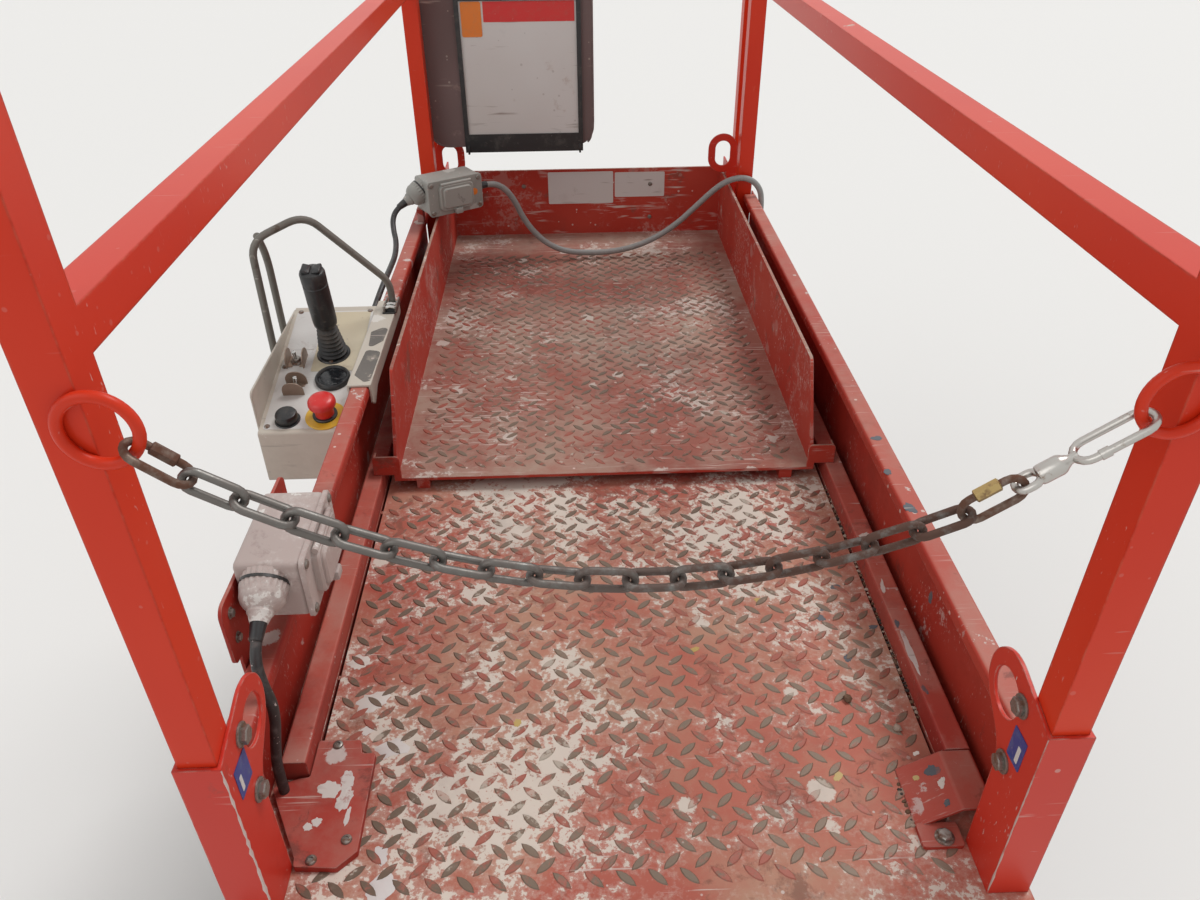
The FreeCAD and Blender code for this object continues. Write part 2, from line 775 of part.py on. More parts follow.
def platform_deck():
    """The chequered deck with the side channels that the top rollers run in, and ribs below."""
    plate = box((-deck_half_width, deck_half_width), (deck_rear, deck_front), (deck_z - deck_thickness, deck_z))
    for side in (left, right):
        slot = box((side * slot_inner_x, side * slot_outer_x),
                   (on_deck(keeper_rear(side))[0], on_deck(keeper_front)[0]), (deck_z - 20, deck_z + 1))
        plate = plate.cut(slot)
    rail = channel(stack_top, deck_rear, deck_front)
    rail_top = stack_top + roller_radius + roller_play + channel_flange
    web = box((channel_web_x, channel_outer_x), (deck_rear, deck_front), (rail_top - 1, deck_z - deck_thickness))
    bore = across(-half_width, half_width, stack_rear, stack_top, pin_radius + running_gap)
    rib_step = (deck_front - deck_rear - 10) / 5
    ribs = [box((-channel_web_x - 1, channel_web_x + 1), (y, y + 6), (deck_z - 42, deck_z - deck_thickness + 1))
            for y in [deck_rear + 2 + rib_step * index for index in range(6)]]
    return fuse([plate] + both_sides(rail) + both_sides(web) + ribs).cut(bore)


def keepers():
    """The smooth raised strips beside the deck that the extension slides along."""
    strips = []
    for side in (left, right):
        section = [(side * keeper_inner_x, deck_z), (side * keeper_outer_x, deck_z),
                   (side * keeper_outer_x, deck_z + keeper_height, 3), (side * keeper_inner_x, deck_z + keeper_height, 3)]
        strips.append(sheet_xz(section, on_deck(keeper_rear(side))[0], on_deck(keeper_front)[0]))
    return Part.makeCompound(strips)


def toe_boards():
    """Folded side sheets; the lip turned in at the top stops short of the far posts."""
    low, top = deck_z - toe_skirt, deck_z + toe_height
    inner, lip = toe_outer_x - toe_sheet, toe_outer_x - toe_lip
    folded = [(inner, low), (toe_outer_x, low), (toe_outer_x, top, 5), (lip, top, 5), (lip, top - toe_lip_drop),
              (lip + toe_sheet, top - toe_lip_drop), (lip + toe_sheet, top - toe_sheet, 2),
              (inner, top - toe_sheet, 2)]
    lip_end = far_post_y - 4
    board = sheet_xz(folded, on_deck(toe_rear)[0], on_deck(lip_end)[0])
    plain = box((inner, toe_outer_x), (on_deck(lip_end - 1)[0], on_deck(toe_front)[0]), (low, top - 5))
    return Part.makeCompound(both_sides(fuse([board, plain])))


def side_rail(side):
    """Near and far posts with hollow top and middle rails that the extension's rails slide in."""
    low = deck_z + seat_gap
    top = deck_z + top_rail_top
    y_near, y_far = on_deck(near_post_y)[0], on_deck(far_post_y)[0]
    wide = (post_inner_x, post_outer_x)
    posts = [box(wide, (y, y + post_size), (low, top)) for y in (y_near, y_far)]
    rails = []
    bores = []
    for rail_top in (mid_rail_top, top_rail_top):
        z1 = deck_z + rail_top
        z0 = z1 - post_size
        rails.append(box(wide, (y_near, y_far + post_size), (z0, z1)))
        bores.append(box((post_inner_x + rail_wall, post_outer_x - rail_wall), (y_near + post_size, y_far + 200),
                         (z0 + rail_wall, z1 - rail_wall)))
    frame = fuse(posts + rails)
    for bore in bores:
        frame = frame.cut(bore)
    return on_side(frame, side)


def socket_lug(x0, x1, near, low):
    """The inner plate: narrow at the deck, it sweeps out to a round head with a round hole."""
    waist = lug_head_y / 2
    corners = [(near, low), (near, deck_z + socket_rim, 4), (entry_y + lug_head_y, deck_z + lug_head_top, lug_head_radius),
               (entry_y + lug_head_y, deck_z + lug_head_low, lug_head_radius), (entry_y + waist, deck_z + lug_waist_z, 44),
               (entry_y + waist, low)]
    y, z, radius = lug_hole
    return sheet_yz(corners, x0, x1).cut(across(x0 - 1, x1 + 1, *on_deck(y, z), radius))


def near_sockets():
    """Folded sockets round the near posts, each with the lug that carries the rail's bolts."""
    y0, y1 = on_deck(near_post_y)[0], on_deck(near_post_y + post_size)[0]
    low, rim = deck_z + socket_foot, deck_z + socket_rim
    near = y0 - socket_gap - socket_sheet
    inner, outer = post_inner_x - socket_gap, post_outer_x + socket_gap
    front = box((inner - socket_sheet, outer + socket_sheet), (near, y0 - socket_gap), (low, rim))
    side = box((outer, outer + socket_sheet), (near, y1 + 12), (low, rim))
    lug = socket_lug(inner - socket_sheet, inner, near, low)
    return Part.makeCompound(both_sides(fuse([front, side, lug])))


def roller_covers():
    """The left near corner has a flat plate, the right one a hood that runs on into the keeper."""
    inner, outer = -slot_inner_x, -toe_outer_x + 6
    plan = [(inner + 45, 44, 3), (inner + 3, 47, 3), (inner + 2, 56, 3), (outer, 138, 4), (outer + 24, 148, 3),
            (inner - 3, 150, 3), (inner - 3, 197, 3), (inner + 43, 196, 4), (inner + 47, 178, 3),
            (inner + 62, 178, 3), (inner + 63, 61, 3)]
    plate = sheet_xy([(x, entry_y + y, r) for x, y, r in plan], deck_z, deck_z + cover_thickness)
    crest = keeper_height
    inner, outer = slot_inner_x, keeper_outer_x
    hood = [(inner - 46, 0), (inner - 2, crest, 8), (outer, crest, 5), (outer, 0), (outer - 3, 0),
            (outer - 3, crest - 3, 2), (inner - 1, crest - 3, 5), (inner - 40, 0)]
    y0, y1 = on_deck(68)[0], on_deck(keeper_rear_right - 2)[0]
    hood = sheet_xz([(c[0], deck_z + c[1]) + c[2:] for c in hood], y0, y1)
    tab = sheet_xy(slab((inner - 46, inner - 4), (y0 - 25, y0 + 2), 3), deck_z, deck_z + 5)
    return Part.makeCompound([plate, fuse([hood, tab])])


# Chain

def on_chain_plane(x, z):
    """The rings lie against the posts' near faces, and the chain hangs in their plane."""
    flat = ring_wire * math.cos(math.pi / 6)
    return V(x, on_deck(near_post_y - flat)[0], deck_z + z)


def rings():
    loop = faceted_loop(round_path(ring_radius, 16), ring_wire)
    made = []
    for side in (left, right):
        ring = loop.copy()
        ring.Placement = FreeCAD.Placement(on_chain_plane(side * ring_x, ring_z), FreeCAD.Rotation(V(1, 0, 0), 90))
        made.append(ring)
    return Part.makeCompound(made)


def chain_height(x):
    return chain_low_z + chain_curve * (x - chain_low_x) ** 2


def chain_slope(x):
    return 2 * chain_curve * (x - chain_low_x)


def chain_step(x, length):
    """The x that lies the given length further along the curve."""
    middle = x + length / 2 / math.hypot(1, chain_slope(x))
    return x + length / math.hypot(1, chain_slope(middle))


def strung(link, start, along, roll):
    """Puts a link made along X at a point, turned along a direction and rolled about it."""
    turn = FreeCAD.Rotation(V(1, 0, 0), along).multiply(FreeCAD.Rotation(V(1, 0, 0), roll))
    placed = link.copy()
    placed.Placement = FreeCAD.Placement(start, turn)
    return placed


def entry_chain():
    """Round links on the hanging curve, each turned a quarter from the last and all twisted a little."""
    length = chain_pitch + chain_wire + tip_play
    link = faceted_loop(oval_path(-length / 2, length, chain_bend), chain_wire / 2)
    tip_gap = (quick_link_wire + chain_wire) / 2 + tip_play
    x = chain_step(chain_start_x, length / 2 - tip_gap)
    links = []
    for index in range(chain_count):
        twist = chain_twist * math.sin(math.pi * index / (chain_count - 1))
        roll = 90 + 90 * (index % 2) + twist
        links.append(strung(link, on_chain_plane(x, chain_height(x)), V(1, 0, chain_slope(x)), roll))
        x = chain_step(x, chain_pitch)
    return Part.makeCompound(links), chain_step(x, length / 2 - chain_pitch - tip_gap)


def quick_link(length):
    """An oval link with the nut that closes it on one side."""
    loop = faceted_loop(oval_path(0, length, quick_link_bend), quick_link_wire / 2)
    nut = faceted_nut(length / 2 - 9, length / 2 + 9, quick_link_bend, quick_link_wire / 2 + 2)
    return fuse([loop, nut])


def faceted_nut(x0, x1, y, radius):
    points = [(y + radius * math.cos(math.radians(a)), radius * math.sin(math.radians(a))) for a in range(0, 360, 60)]
    return sheet_yz(points, x0, x1)


def snap_hook(length):
    """An eye, a swivel barrel and a long closed hook, in one piece."""
    wire = quick_link_wire / 2
    eye = faceted_loop(oval_path(0, 17, 6.5), wire)
    barrel = turned([(4.5, 0), (7, 2), (7, 16), (5, 19), (3.4, 22), (3.4, 27)], (15, 0, 0), (1, 0, 0))
    hook = faceted_loop(oval_path(40, length - 40, quick_link_bend), wire)
    return fuse([eye, barrel, hook])


def chain_ends(end_x):
    """The link on the left ring, and the link and the snap hook on the right one."""
    reach = ring_radius - ring_wire - quick_link_wire / 2 - ring_play
    start = on_chain_plane(chain_start_x, chain_height(chain_start_x))
    toward = (on_chain_plane(-ring_x, ring_z) - start)
    left_length = toward.Length - reach
    first = strung(quick_link(left_length), start, toward, 0)
    end = on_chain_plane(end_x, chain_height(end_x))
    toward = on_chain_plane(ring_x, ring_z) - end
    tip_gap = quick_link_wire + tip_play
    along = V(toward).normalize()
    middle = strung(quick_link(quick_link_length), end, along, 90)
    hook_start = quick_link_length - tip_gap
    last = strung(snap_hook(toward.Length - reach - hook_start), end + along * hook_start, along, 0)
    return Part.makeCompound([first, middle, last])


# Controls and outlets

def control_box():
    """A wedge-shaped box with a side guard plate, hung over the toe board on a folded hook."""
    y0, y1 = on_deck(control_rear)[0], on_deck(control_front)[0]
    outer, inner = -control_outer_x, -toe_outer_x - 4
    low = deck_z + control_low
    profile = [(y0, low, 6), (y1, low, 6), (y1, deck_z + control_far_top, 5), (y0, deck_z + control_near_top, 5)]
    body = sheet_yz(profile, outer, inner)
    guard = sheet_yz(slab((y0 + 15, y1), (low - 1, deck_z + control_far_top - 4), 8), outer - toe_sheet, outer)
    top = deck_z + toe_height
    lip = -toe_outer_x + toe_lip + 0.6
    hook_long = (y0 + 8, y1 - 3)
    leg = box((inner, inner + 3.4), hook_long, (low, top + 3.3))
    cover = box((inner, lip + 3), hook_long, (top + seat_gap, top + 3.3))
    flap = [(hook_long[0], top + 3.3), (hook_long[1], top + 3.3), (hook_long[1], top - 20, 6),
            (y0 + 55, top - 22, 12), (y0 + 23, top - 38, 5), (hook_long[0], top - 26)]
    gland = turned([(13, -2), (13, 6), (11, 9), (9, 11), (9, 20)], (-control_outer_x + 125, y1, deck_z + 118), (0, 1, 0))
    return fuse([body, guard, leg, cover, sheet_yz(flap, lip, lip + 3), gland])


# Each control: how far in from the box's outer side, how far along the panel, and its (radius, height) outline
panel_controls = [
    (87, 180, [(28, 0), (28, 4), (21, 8), (23, 14), (18, 18), (20, 24), (15, 28), (16, 34), (11, 38), (8, 44),
               (8, 60), (14, 66), (18, 80), (19, 120), (17, 146), (12, 152)]),
    (99, 32, [(26, 0), (26, 6), (20, 8), (11, 9), (11, 20), (17, 23), (21, 28), (20, 34), (14, 38)]),
    (44, 24, [(15, 0), (15, 3), (12, 5), (11, 22), (9, 24)]),
    (94, 118, [(23, 0), (23, 5), (20, 7), (20, 6)]),
    (30, 160, [(11, 0), (11, 4), (8, 6), (7, 24), (5, 27)]),
    (43, 95, [(11, 0), (11, 4), (8, 6), (7, 24), (5, 27)]),
]


def control_fittings():
    """Joystick, stop button, knob, gauge and toggles, each a turned form square to the sloping panel."""
    slope = math.atan2(control_far_top - control_near_top, control_front - control_rear)
    normal = V(0, -math.sin(slope), math.cos(slope))
    fittings = []
    for inset, station, profile in panel_controls:
        y, z = on_deck(control_rear + station, control_near_top + station * math.tan(slope))
        base = V(-control_outer_x + inset, y, z) + normal * 0.2
        fittings.append(turned(profile, base, normal))
    return Part.makeCompound(fittings)


def control_guard():
    """The round bar that rises outside the guard plate, loops over the panel and ends on the hook."""
    outer = -control_outer_x - guard_loop_out
    inner = -toe_outer_x + 12
    far = control_front - 18
    hook_top = toe_height + 3.3
    loop = [(outer, far - 115, 100), (outer, far - 115, 280), (outer + 12, far - 76, 335), (outer + 85, far - 62, 338),
            (outer + 140, far - 42, 285), (inner, far, 215), (inner, far, hook_top)]
    second = [(outer, far - 42, 100), (outer, far - 42, 278), (outer + 12, far - 76, 335)]
    bars = [routed_tube([(x,) + on_deck(y, z) for x, y, z in path], guard_loop_radius) for path in (loop, second)]
    return fuse(bars)


def outlet_bracket():
    """The plate on the left toe board's outer face that the outlet box is fixed to."""
    y0, y1 = outlet_rear - bracket_lead, outlet_rear - bracket_lead + bracket_length
    edge, foot = toe_height + bracket_rise, toe_height - bracket_grip
    near_leg = (y0 + bracket_leg_inset, y0 + bracket_leg_inset + bracket_leg)
    far_leg = (y1 - bracket_leg_inset - bracket_leg, y1 - bracket_leg_inset)
    corners = [(y0, edge, 8), (near_leg[0], edge, 3), (near_leg[0], foot), (near_leg[1], foot), (near_leg[1], edge, 3),
               (far_leg[0], edge, 3), (far_leg[0], foot), (far_leg[1], foot), (far_leg[1], edge, 3), (y1, edge, 8),
               (y1, edge + bracket_far_height, 12), (y0, edge + bracket_near_height, 12)]
    placed = [on_deck(c[0], c[1]) + c[2:] for c in corners]
    return sheet_yz(placed, -toe_outer_x - 3.5, -toe_outer_x)


def gland_axis():
    tilt = math.radians(gland_tilt)
    return V(0, -math.cos(tilt), -math.sin(tilt))


def outlet_unit():
    """A weatherproof outlet: body, lid with a flip cover and its catch, and a domed gland on the near end."""
    deep, long, high = outlet_size
    body = sheet_xy(slab((0, deep), (0, long), 6), 0, high)
    lid = sheet_yz(slab((-2, long + 2), (-2, high + 2), 8), deep, deep + 5)
    flip = sheet_yz(slab((22, long - 22), (8, high - 8), 10), deep + 5, deep + 13)
    crown = sheet_yz(slab((28, long - 28), (14, high - 14), 8), deep + 13, deep + 17)
    catch = box((deep + 5, deep + 19), (long / 2 - 8, long / 2 + 8), (0, 12))
    dome = [(24, -10), (24, 10), (22, 20), (17, 28), (13, 31), (13, 34), (9, gland_length)]
    gland = turned(dome, (28, 4, 46), gland_axis())
    return fuse([body, lid, flip, crown, catch, gland])


def outlet_place():
    y, z = on_deck(outlet_rear, outlet_low)
    return FreeCAD.Placement(V(-toe_outer_x, y, z), FreeCAD.Rotation())


def junction_place():
    y, z = on_deck(junction_corner[1], extension_wall_top + 8)
    return FreeCAD.Placement(V(junction_corner[0], y, z), FreeCAD.Rotation(V(0, 0, 1), junction_turn))


def outlet_box():
    unit = outlet_unit()
    unit.Placement = outlet_place()
    return unit


def junction_box():
    """The same unit in grey on the far end of the toe board, turned inwards on a small bracket."""
    unit = outlet_unit().fuse(turned([(15, -2), (15, 5), (11, 8), (9, 16)], side_gland(0), (0, 1, 0)))
    unit.Placement = junction_place()
    y, z = on_deck(junction_corner[1], toe_height)
    bracket = box((junction_corner[0], -toe_outer_x + toe_lip), (y - 15, y + 7), (z, z + 28))
    return fuse([unit, bracket])


def side_gland(out):
    return V(35, outlet_size[1] + out, 32)


def build_platform():
    chain, chain_end = entry_chain()
    nodes["platform_deck"] = platform_deck()
    nodes["slide_keepers"] = keepers()
    nodes["toe_boards"] = toe_boards()
    nodes["rail_left"] = side_rail(left)
    nodes["rail_right"] = side_rail(right)
    nodes["near_sockets"] = near_sockets()
    nodes["roller_covers"] = roller_covers()
    nodes["chain_rings"] = rings()
    nodes["entry_chain"] = chain
    nodes["chain_ends"] = chain_ends(chain_end)
    nodes["control_box"] = control_box()
    nodes["control_fittings"] = control_fittings()
    nodes["control_guard"] = control_guard()
    nodes["outlet_bracket"] = outlet_bracket()
    nodes["outlet_box"] = outlet_box()
    nodes["junction_box"] = junction_box()


# Extension

def extension_deck():
    """The inner tray: floor, raked side walls, feet and front board, on wear pads."""
    y0, y1 = on_deck(extension_near)[0], on_deck(extension_front)[0]
    top = deck_z + extension_top
    low = top - extension_sheet
    inner, outer = extension_half_width, extension_half_width + extension_sheet
    wall_profile = [(y0, low), (y1 + extension_sheet, low), (y1 + extension_sheet, deck_z + extension_wall_top),
                    (y0 + extension_rake, deck_z + extension_wall_top, 12), (y0, top)]
    walls = both_sides(sheet_yz(wall_profile, inner, outer))
    floor = box((-inner, inner), (y0, y1), (low, top))
    front = box((-outer, outer), (y1, y1 + extension_sheet), (low, deck_z + extension_front_top))
    pad = box((inner - 47, inner - 27), (y0 + 3, y0 + foot_length), (deck_z + seat_gap, low + 1))
    return fuse([floor, front] + walls + both_sides(pad) + both_sides(extension_foot(y0, low)))


def extension_foot(y0, low):
    """A folded foot beside the wall that rides over the keeper."""
    inner, outer = extension_half_width - 6, extension_half_width + foot_reach
    above_keeper = deck_z + keeper_height + 2 * seat_gap
    plate = [(inner, low), (extension_half_width + extension_sheet, low),
             (extension_half_width + extension_sheet, above_keeper), (outer, above_keeper),
             (outer, deck_z + foot_top, 6), (inner, deck_z + foot_top, 6)]
    lip = box((outer - foot_sheet, outer), (y0, y0 + foot_length), (above_keeper, deck_z + foot_top - 6))
    return sheet_xz(plate, y0, y0 + foot_sheet).fuse(lip)


def extension_rails():
    """Posts, rails that slide in the main rails, and the front cross rails."""
    y = on_deck(extension_post_y)[0]
    rear = on_deck(extension_rail_rear)[0]
    low, top = deck_z + extension_top - extension_sheet, deck_z + top_rail_top
    middle = (post_inner_x + post_outer_x) / 2
    half = extension_rail / 2
    parts = both_sides(box((post_inner_x, post_outer_x), (y, y + post_size), (low, top)))
    for rail_top in (mid_rail_top, top_rail_top):
        z = deck_z + rail_top - post_size / 2
        parts += both_sides(box((middle - half, middle + half), (rear, y + 5), (z - half, z + half)))
        parts.append(box((-post_inner_x - 1, post_inner_x + 1), (y, y + post_size),
                         (z - post_size / 2, z + post_size / 2)))
    return fuse(parts)


def extension_sockets():
    """Folded sockets round the front posts, each with an upright lug that faces the entry."""
    y = on_deck(extension_post_y)[0]
    near = y - socket_gap - socket_sheet
    far = on_deck(extension_front)[0] + extension_sheet
    low, rim = deck_z + extension_top - extension_sheet, deck_z + socket_rim
    inner = extension_half_width + extension_sheet + 0.2
    outer = post_outer_x + socket_gap
    parts = [box((inner, inner + socket_sheet), (near, far), (low, rim - 24)),
             box((inner, outer + socket_sheet), (near, y - socket_gap), (low, rim)),
             box((outer, outer + socket_sheet), (near, far), (low, rim))]
    inset, z, half_wide, half_high = front_lug
    x = post_inner_x - inset
    lug = slab((x - half_wide, x + half_wide), (deck_z + z - half_high, deck_z + z + half_high), half_wide - 0.1)
    hole_wide, hole_high = front_lug_hole
    hole = slab((x - hole_wide, x + hole_wide), (deck_z + z - hole_high, deck_z + z + hole_high), hole_wide - 0.1)
    parts.append(sheet_xz(lug, near, y - socket_gap))
    socket = fuse(parts).cut(sheet_xz(hole, near - 1, y))
    return Part.makeCompound(both_sides(socket))


def holder_frame_x():
    return holder_middle_x - holder_frame_reach[0], holder_middle_x + holder_frame_reach[1]


def document_holder():
    """A case with rounded lower corners, a frame on its near face and two hangers from the middle rail."""
    far = on_deck(extension_post_y)[0]
    back = far - 6
    near = back - holder_depth
    left_x, right_x = holder_middle_x - holder_half_width, holder_middle_x + holder_half_width
    low, top = deck_z + holder_low, deck_z + mid_rail_top - post_size - 3
    outline = [(left_x, low, 40), (right_x, low, 40), (right_x, top), (left_x, top)]
    case = sheet_xz(outline, near, back)
    inset = holder_sheet
    inside = [(left_x + inset, low + inset, 36), (right_x - inset, low + inset, 36), (right_x - inset, top + 5),
              (left_x + inset, top + 5)]
    case = case.cut(sheet_xz(inside, near + inset, back - inset))
    frame_x = holder_frame_x()
    frame = sheet_xz(slab(frame_x, (low - 8, top - 16), 10), near - 5, near)
    frame = frame.cut(sheet_xz(slab((frame_x[0] + 5, frame_x[1] - 5), (low + 26, top - 22), 4), near - 6, near))
    hangers = [box((holder_middle_x + x - 20, holder_middle_x + x + 20), (back - 3, far), (top - 16, top + 24))
               for x in (-60, 80)]
    return fuse([case, frame] + hangers)


def document_sign():
    """The blank plate held in the frame."""
    near = on_deck(extension_post_y)[0] - 6 - holder_depth
    low, top = deck_z + holder_low, deck_z + mid_rail_top - post_size - 3
    wide = (holder_frame_x()[0] + sign_inset, holder_frame_x()[1] - sign_inset)
    return sheet_xz(slab(wide, (low + 26.5, top - 22.5), 4), near - 3, near)


def build_extension():
    nodes["extension_deck"] = extension_deck()
    nodes["extension_rails"] = extension_rails()
    nodes["extension_sockets"] = extension_sockets()
    nodes["document_holder"] = document_holder()
    nodes["document_sign"] = document_sign()


# Cables

def straight_out(place, start, axis, reach):
    """Where a cable starts at a gland and the first point it runs straight to."""
    first = place.multVec(start)
    return [first, first + place.Rotation.multVec(axis) * reach]


def cable_routes():
    """Each cable's radius, its two points at the gland, and the rest in platform measures: x, y along, z up."""
    mouth = V(28, 4, 46) + gland_axis() * gland_length
    outlet = straight_out(outlet_place(), mouth, gland_axis(), 20)
    junction = straight_out(junction_place(), mouth, gland_axis(), 22)
    side = straight_out(junction_place(), side_gland(16), V(0, 1, 0), 30)
    return {
        "cable_outlet": (cable_radius, outlet, [
            (-351.5, 138.4, 190.2), (-348.5, 134.4, 166.6), (-345.5, 135, 143), (-348, 136, 116),
            (-354, 136, 86), (-359, 135, 56), (-360, 134, 32), (-360, 134, cover_thickness)]),
        "cable_control": (cable_radius, junction, [
            (-406.9, 1369.8, 181.2), (-404, 1347.4, 164.7), (-395, 1315, 152), (-391, 1262, 143),
            (-391.5, 1200, 144), (-391, 1142, 147), (-397, 1105, 136), (-405, 1078, 118), (-405, 1050, 118)]),
        "cable_power": (power_cable_radius, side, [
            (-182, 1513, 192), (-163, 1521, 161), (-149, 1524, 125), (-128, 1525.5, 91), (-98, 1524, 61),
            (-58, 1523, 41.5), (-8, 1523.5, 36), (45, 1526, 35.8), (98, 1531, 43), (150, 1538, 61),
            (200, 1546, 91), (243, 1552, 129), (282, 1554, 166), (313, 1552, 188), (344.5, 1550, 194.5),
            (369, 1548, 186.5), (385.5, 1547, 167.5), (390.5, 1546, 143), (390.5, 1545, 112), (390, 1544, 84)]),
    }


def build_cables():
    for name, (radius, start, points) in cable_routes().items():
        placed = [tuple(point) for point in start] + [(x,) + on_deck(y, z) for x, y, z in points]
        nodes[name] = routed_tube(placed, radius, name)


def main():
    os.makedirs("parts", exist_ok=True)
    build_chassis()
    build_wheels()
    build_stack()
    build_platform()
    build_extension()
    build_cables()
    for name, shape in nodes.items():
        placed = shape.copy()
        placed.translate(origin * -1)
        placed.exportStep("parts/%s.step" % name)
        print(name, len(placed.Solids), "%.1f" % (placed.Volume / 1000), "valid" if placed.isValid() else "NOT VALID")
    print(len(nodes), "nodes, origin", origin)


main()
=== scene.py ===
import bpy, bmesh, math, random
from mathutils import Vector, Matrix, Quaternion


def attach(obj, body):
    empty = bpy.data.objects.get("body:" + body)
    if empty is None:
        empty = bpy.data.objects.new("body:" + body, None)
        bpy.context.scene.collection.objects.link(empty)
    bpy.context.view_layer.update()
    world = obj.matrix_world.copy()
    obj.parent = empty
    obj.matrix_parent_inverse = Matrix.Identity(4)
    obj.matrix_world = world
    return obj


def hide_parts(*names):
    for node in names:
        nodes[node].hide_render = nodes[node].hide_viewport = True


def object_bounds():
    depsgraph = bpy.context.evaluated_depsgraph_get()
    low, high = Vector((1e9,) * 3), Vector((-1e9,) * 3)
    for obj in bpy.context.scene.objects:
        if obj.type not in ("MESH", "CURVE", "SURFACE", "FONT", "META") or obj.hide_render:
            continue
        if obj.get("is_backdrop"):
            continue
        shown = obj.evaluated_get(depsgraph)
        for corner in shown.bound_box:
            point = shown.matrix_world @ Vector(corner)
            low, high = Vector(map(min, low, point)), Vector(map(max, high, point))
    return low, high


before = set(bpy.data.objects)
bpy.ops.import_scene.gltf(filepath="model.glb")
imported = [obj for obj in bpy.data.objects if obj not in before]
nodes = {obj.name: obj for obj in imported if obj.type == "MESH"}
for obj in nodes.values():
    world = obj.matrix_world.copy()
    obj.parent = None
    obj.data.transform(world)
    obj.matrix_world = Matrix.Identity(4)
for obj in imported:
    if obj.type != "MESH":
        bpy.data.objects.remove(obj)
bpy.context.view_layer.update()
print("frame loaded:", len(nodes), "nodes")


def onMachine(x, y, z):  # millimetres from the middle of the wheelbase, on the ground
    return Vector((x + 70, y + 11, z)) / 1000


def onDeck(x, y, z):  # millimetres from the near posts' faces, at the deck's top
    return onMachine(x, y - 845, z + 980)


# Camera, as the photograph was taken
cameraView = {"place": (0.0254, -1.3136, 1.8224), "down": 34.02, "aside": 1.82, "roll": -0.606, "lens": 27.64}


def setCamera(view):
    down, aside, roll = (math.radians(view[key]) for key in ("down", "aside", "roll"))
    ahead = Vector((math.sin(aside) * math.cos(down), math.cos(aside) * math.cos(down), -math.sin(down)))
    level = Vector((math.cos(aside), -math.sin(aside), 0))
    upward = level.cross(ahead)
    side = math.cos(roll) * level + math.sin(roll) * upward
    upward = math.cos(roll) * upward - math.sin(roll) * level
    camera = bpy.data.objects.new("camera", bpy.data.cameras.new("camera"))
    camera.data.sensor_width, camera.data.lens = 36, view["lens"]
    camera.data.sensor_fit = "HORIZONTAL"
    camera.data.clip_start, camera.data.clip_end = 0.02, 60
    turn = Matrix((side, upward, -ahead)).transposed().to_4x4()
    camera.matrix_world = Matrix.Translation(Vector(view["place"])) @ turn
    bpy.context.collection.objects.link(camera)
    bpy.context.scene.camera = camera


setCamera(cameraView)


# Shader helpers: a node is made with its settings, and an input takes a value or another node's output
def addNode(tree, kind, inputs=(), **settings):
    made = tree.nodes.new(kind)
    for key, value in settings.items():
        setattr(made, key, value)
    for key, value in dict(inputs).items():
        socket = made.inputs[key]
        if isinstance(value, bpy.types.NodeSocket):
            tree.links.new(value, socket)
        else:
            socket.default_value = value
    return made


def maths(tree, operation, a, b=0.0, clamp=False):
    return addNode(tree, "ShaderNodeMath", {0: a, 1: b}, operation=operation, use_clamp=clamp).outputs[0]


def times(tree, a, b):
    return maths(tree, "MULTIPLY", a, b)


def plus(tree, a, b, clamp=False):
    return maths(tree, "ADD", a, b, clamp)


def minus(tree, a, b):
    return maths(tree, "SUBTRACT", a, b)


def highest(tree, a, b):
    return maths(tree, "MAXIMUM", a, b)


def ramp(tree, value, low, high, toLow=0.0, toHigh=1.0):
    sockets = {"Value": value, "From Min": low, "From Max": high, "To Min": toLow, "To Max": toHigh}
    return addNode(tree, "ShaderNodeMapRange", sockets, clamp=True).outputs["Result"]


def mixColour(tree, factor, a, b):
    made = addNode(tree, "ShaderNodeMix", data_type="RGBA")
    for socket, value in zip((made.inputs["Factor"], made.inputs[6], made.inputs[7]), (factor, a, b)):
        if isinstance(value, bpy.types.NodeSocket):
            tree.links.new(value, socket)
        elif isinstance(value, (int, float)):
            socket.default_value = value
        else:
            socket.default_value = (*value, 1)
    return made.outputs[2]


def noise(tree, vector, scale, detail=3.0, rough=0.55, distort=0.0):
    sockets = {"Vector": vector, "Scale": scale, "Detail": detail, "Roughness": rough, "Distortion": distort}
    return addNode(tree, "ShaderNodeTexNoise", sockets).outputs["Fac"]


def stretched(tree, vector, scale, turn=(0, 0, 0)):
    sockets = {"Vector": vector, "Scale": scale, "Rotation": turn}
    return addNode(tree, "ShaderNodeMapping", sockets).outputs["Vector"]


def newGroup(name, inputs, outputs):
    tree = bpy.data.node_groups.new(name, "ShaderNodeTree")
    for label, kind, value in inputs:
        socket = tree.interface.new_socket(label, in_out="INPUT", socket_type=kind)
        socket.default_value = value
    for label, kind in outputs:
        tree.interface.new_socket(label, in_out="OUTPUT", socket_type=kind)
    return tree, tree.nodes.new("NodeGroupInput").outputs, tree.nodes.new("NodeGroupOutput").inputs


wearNames = ("Splash", "Rubbed", "Scratches", "Grime", "Shift")


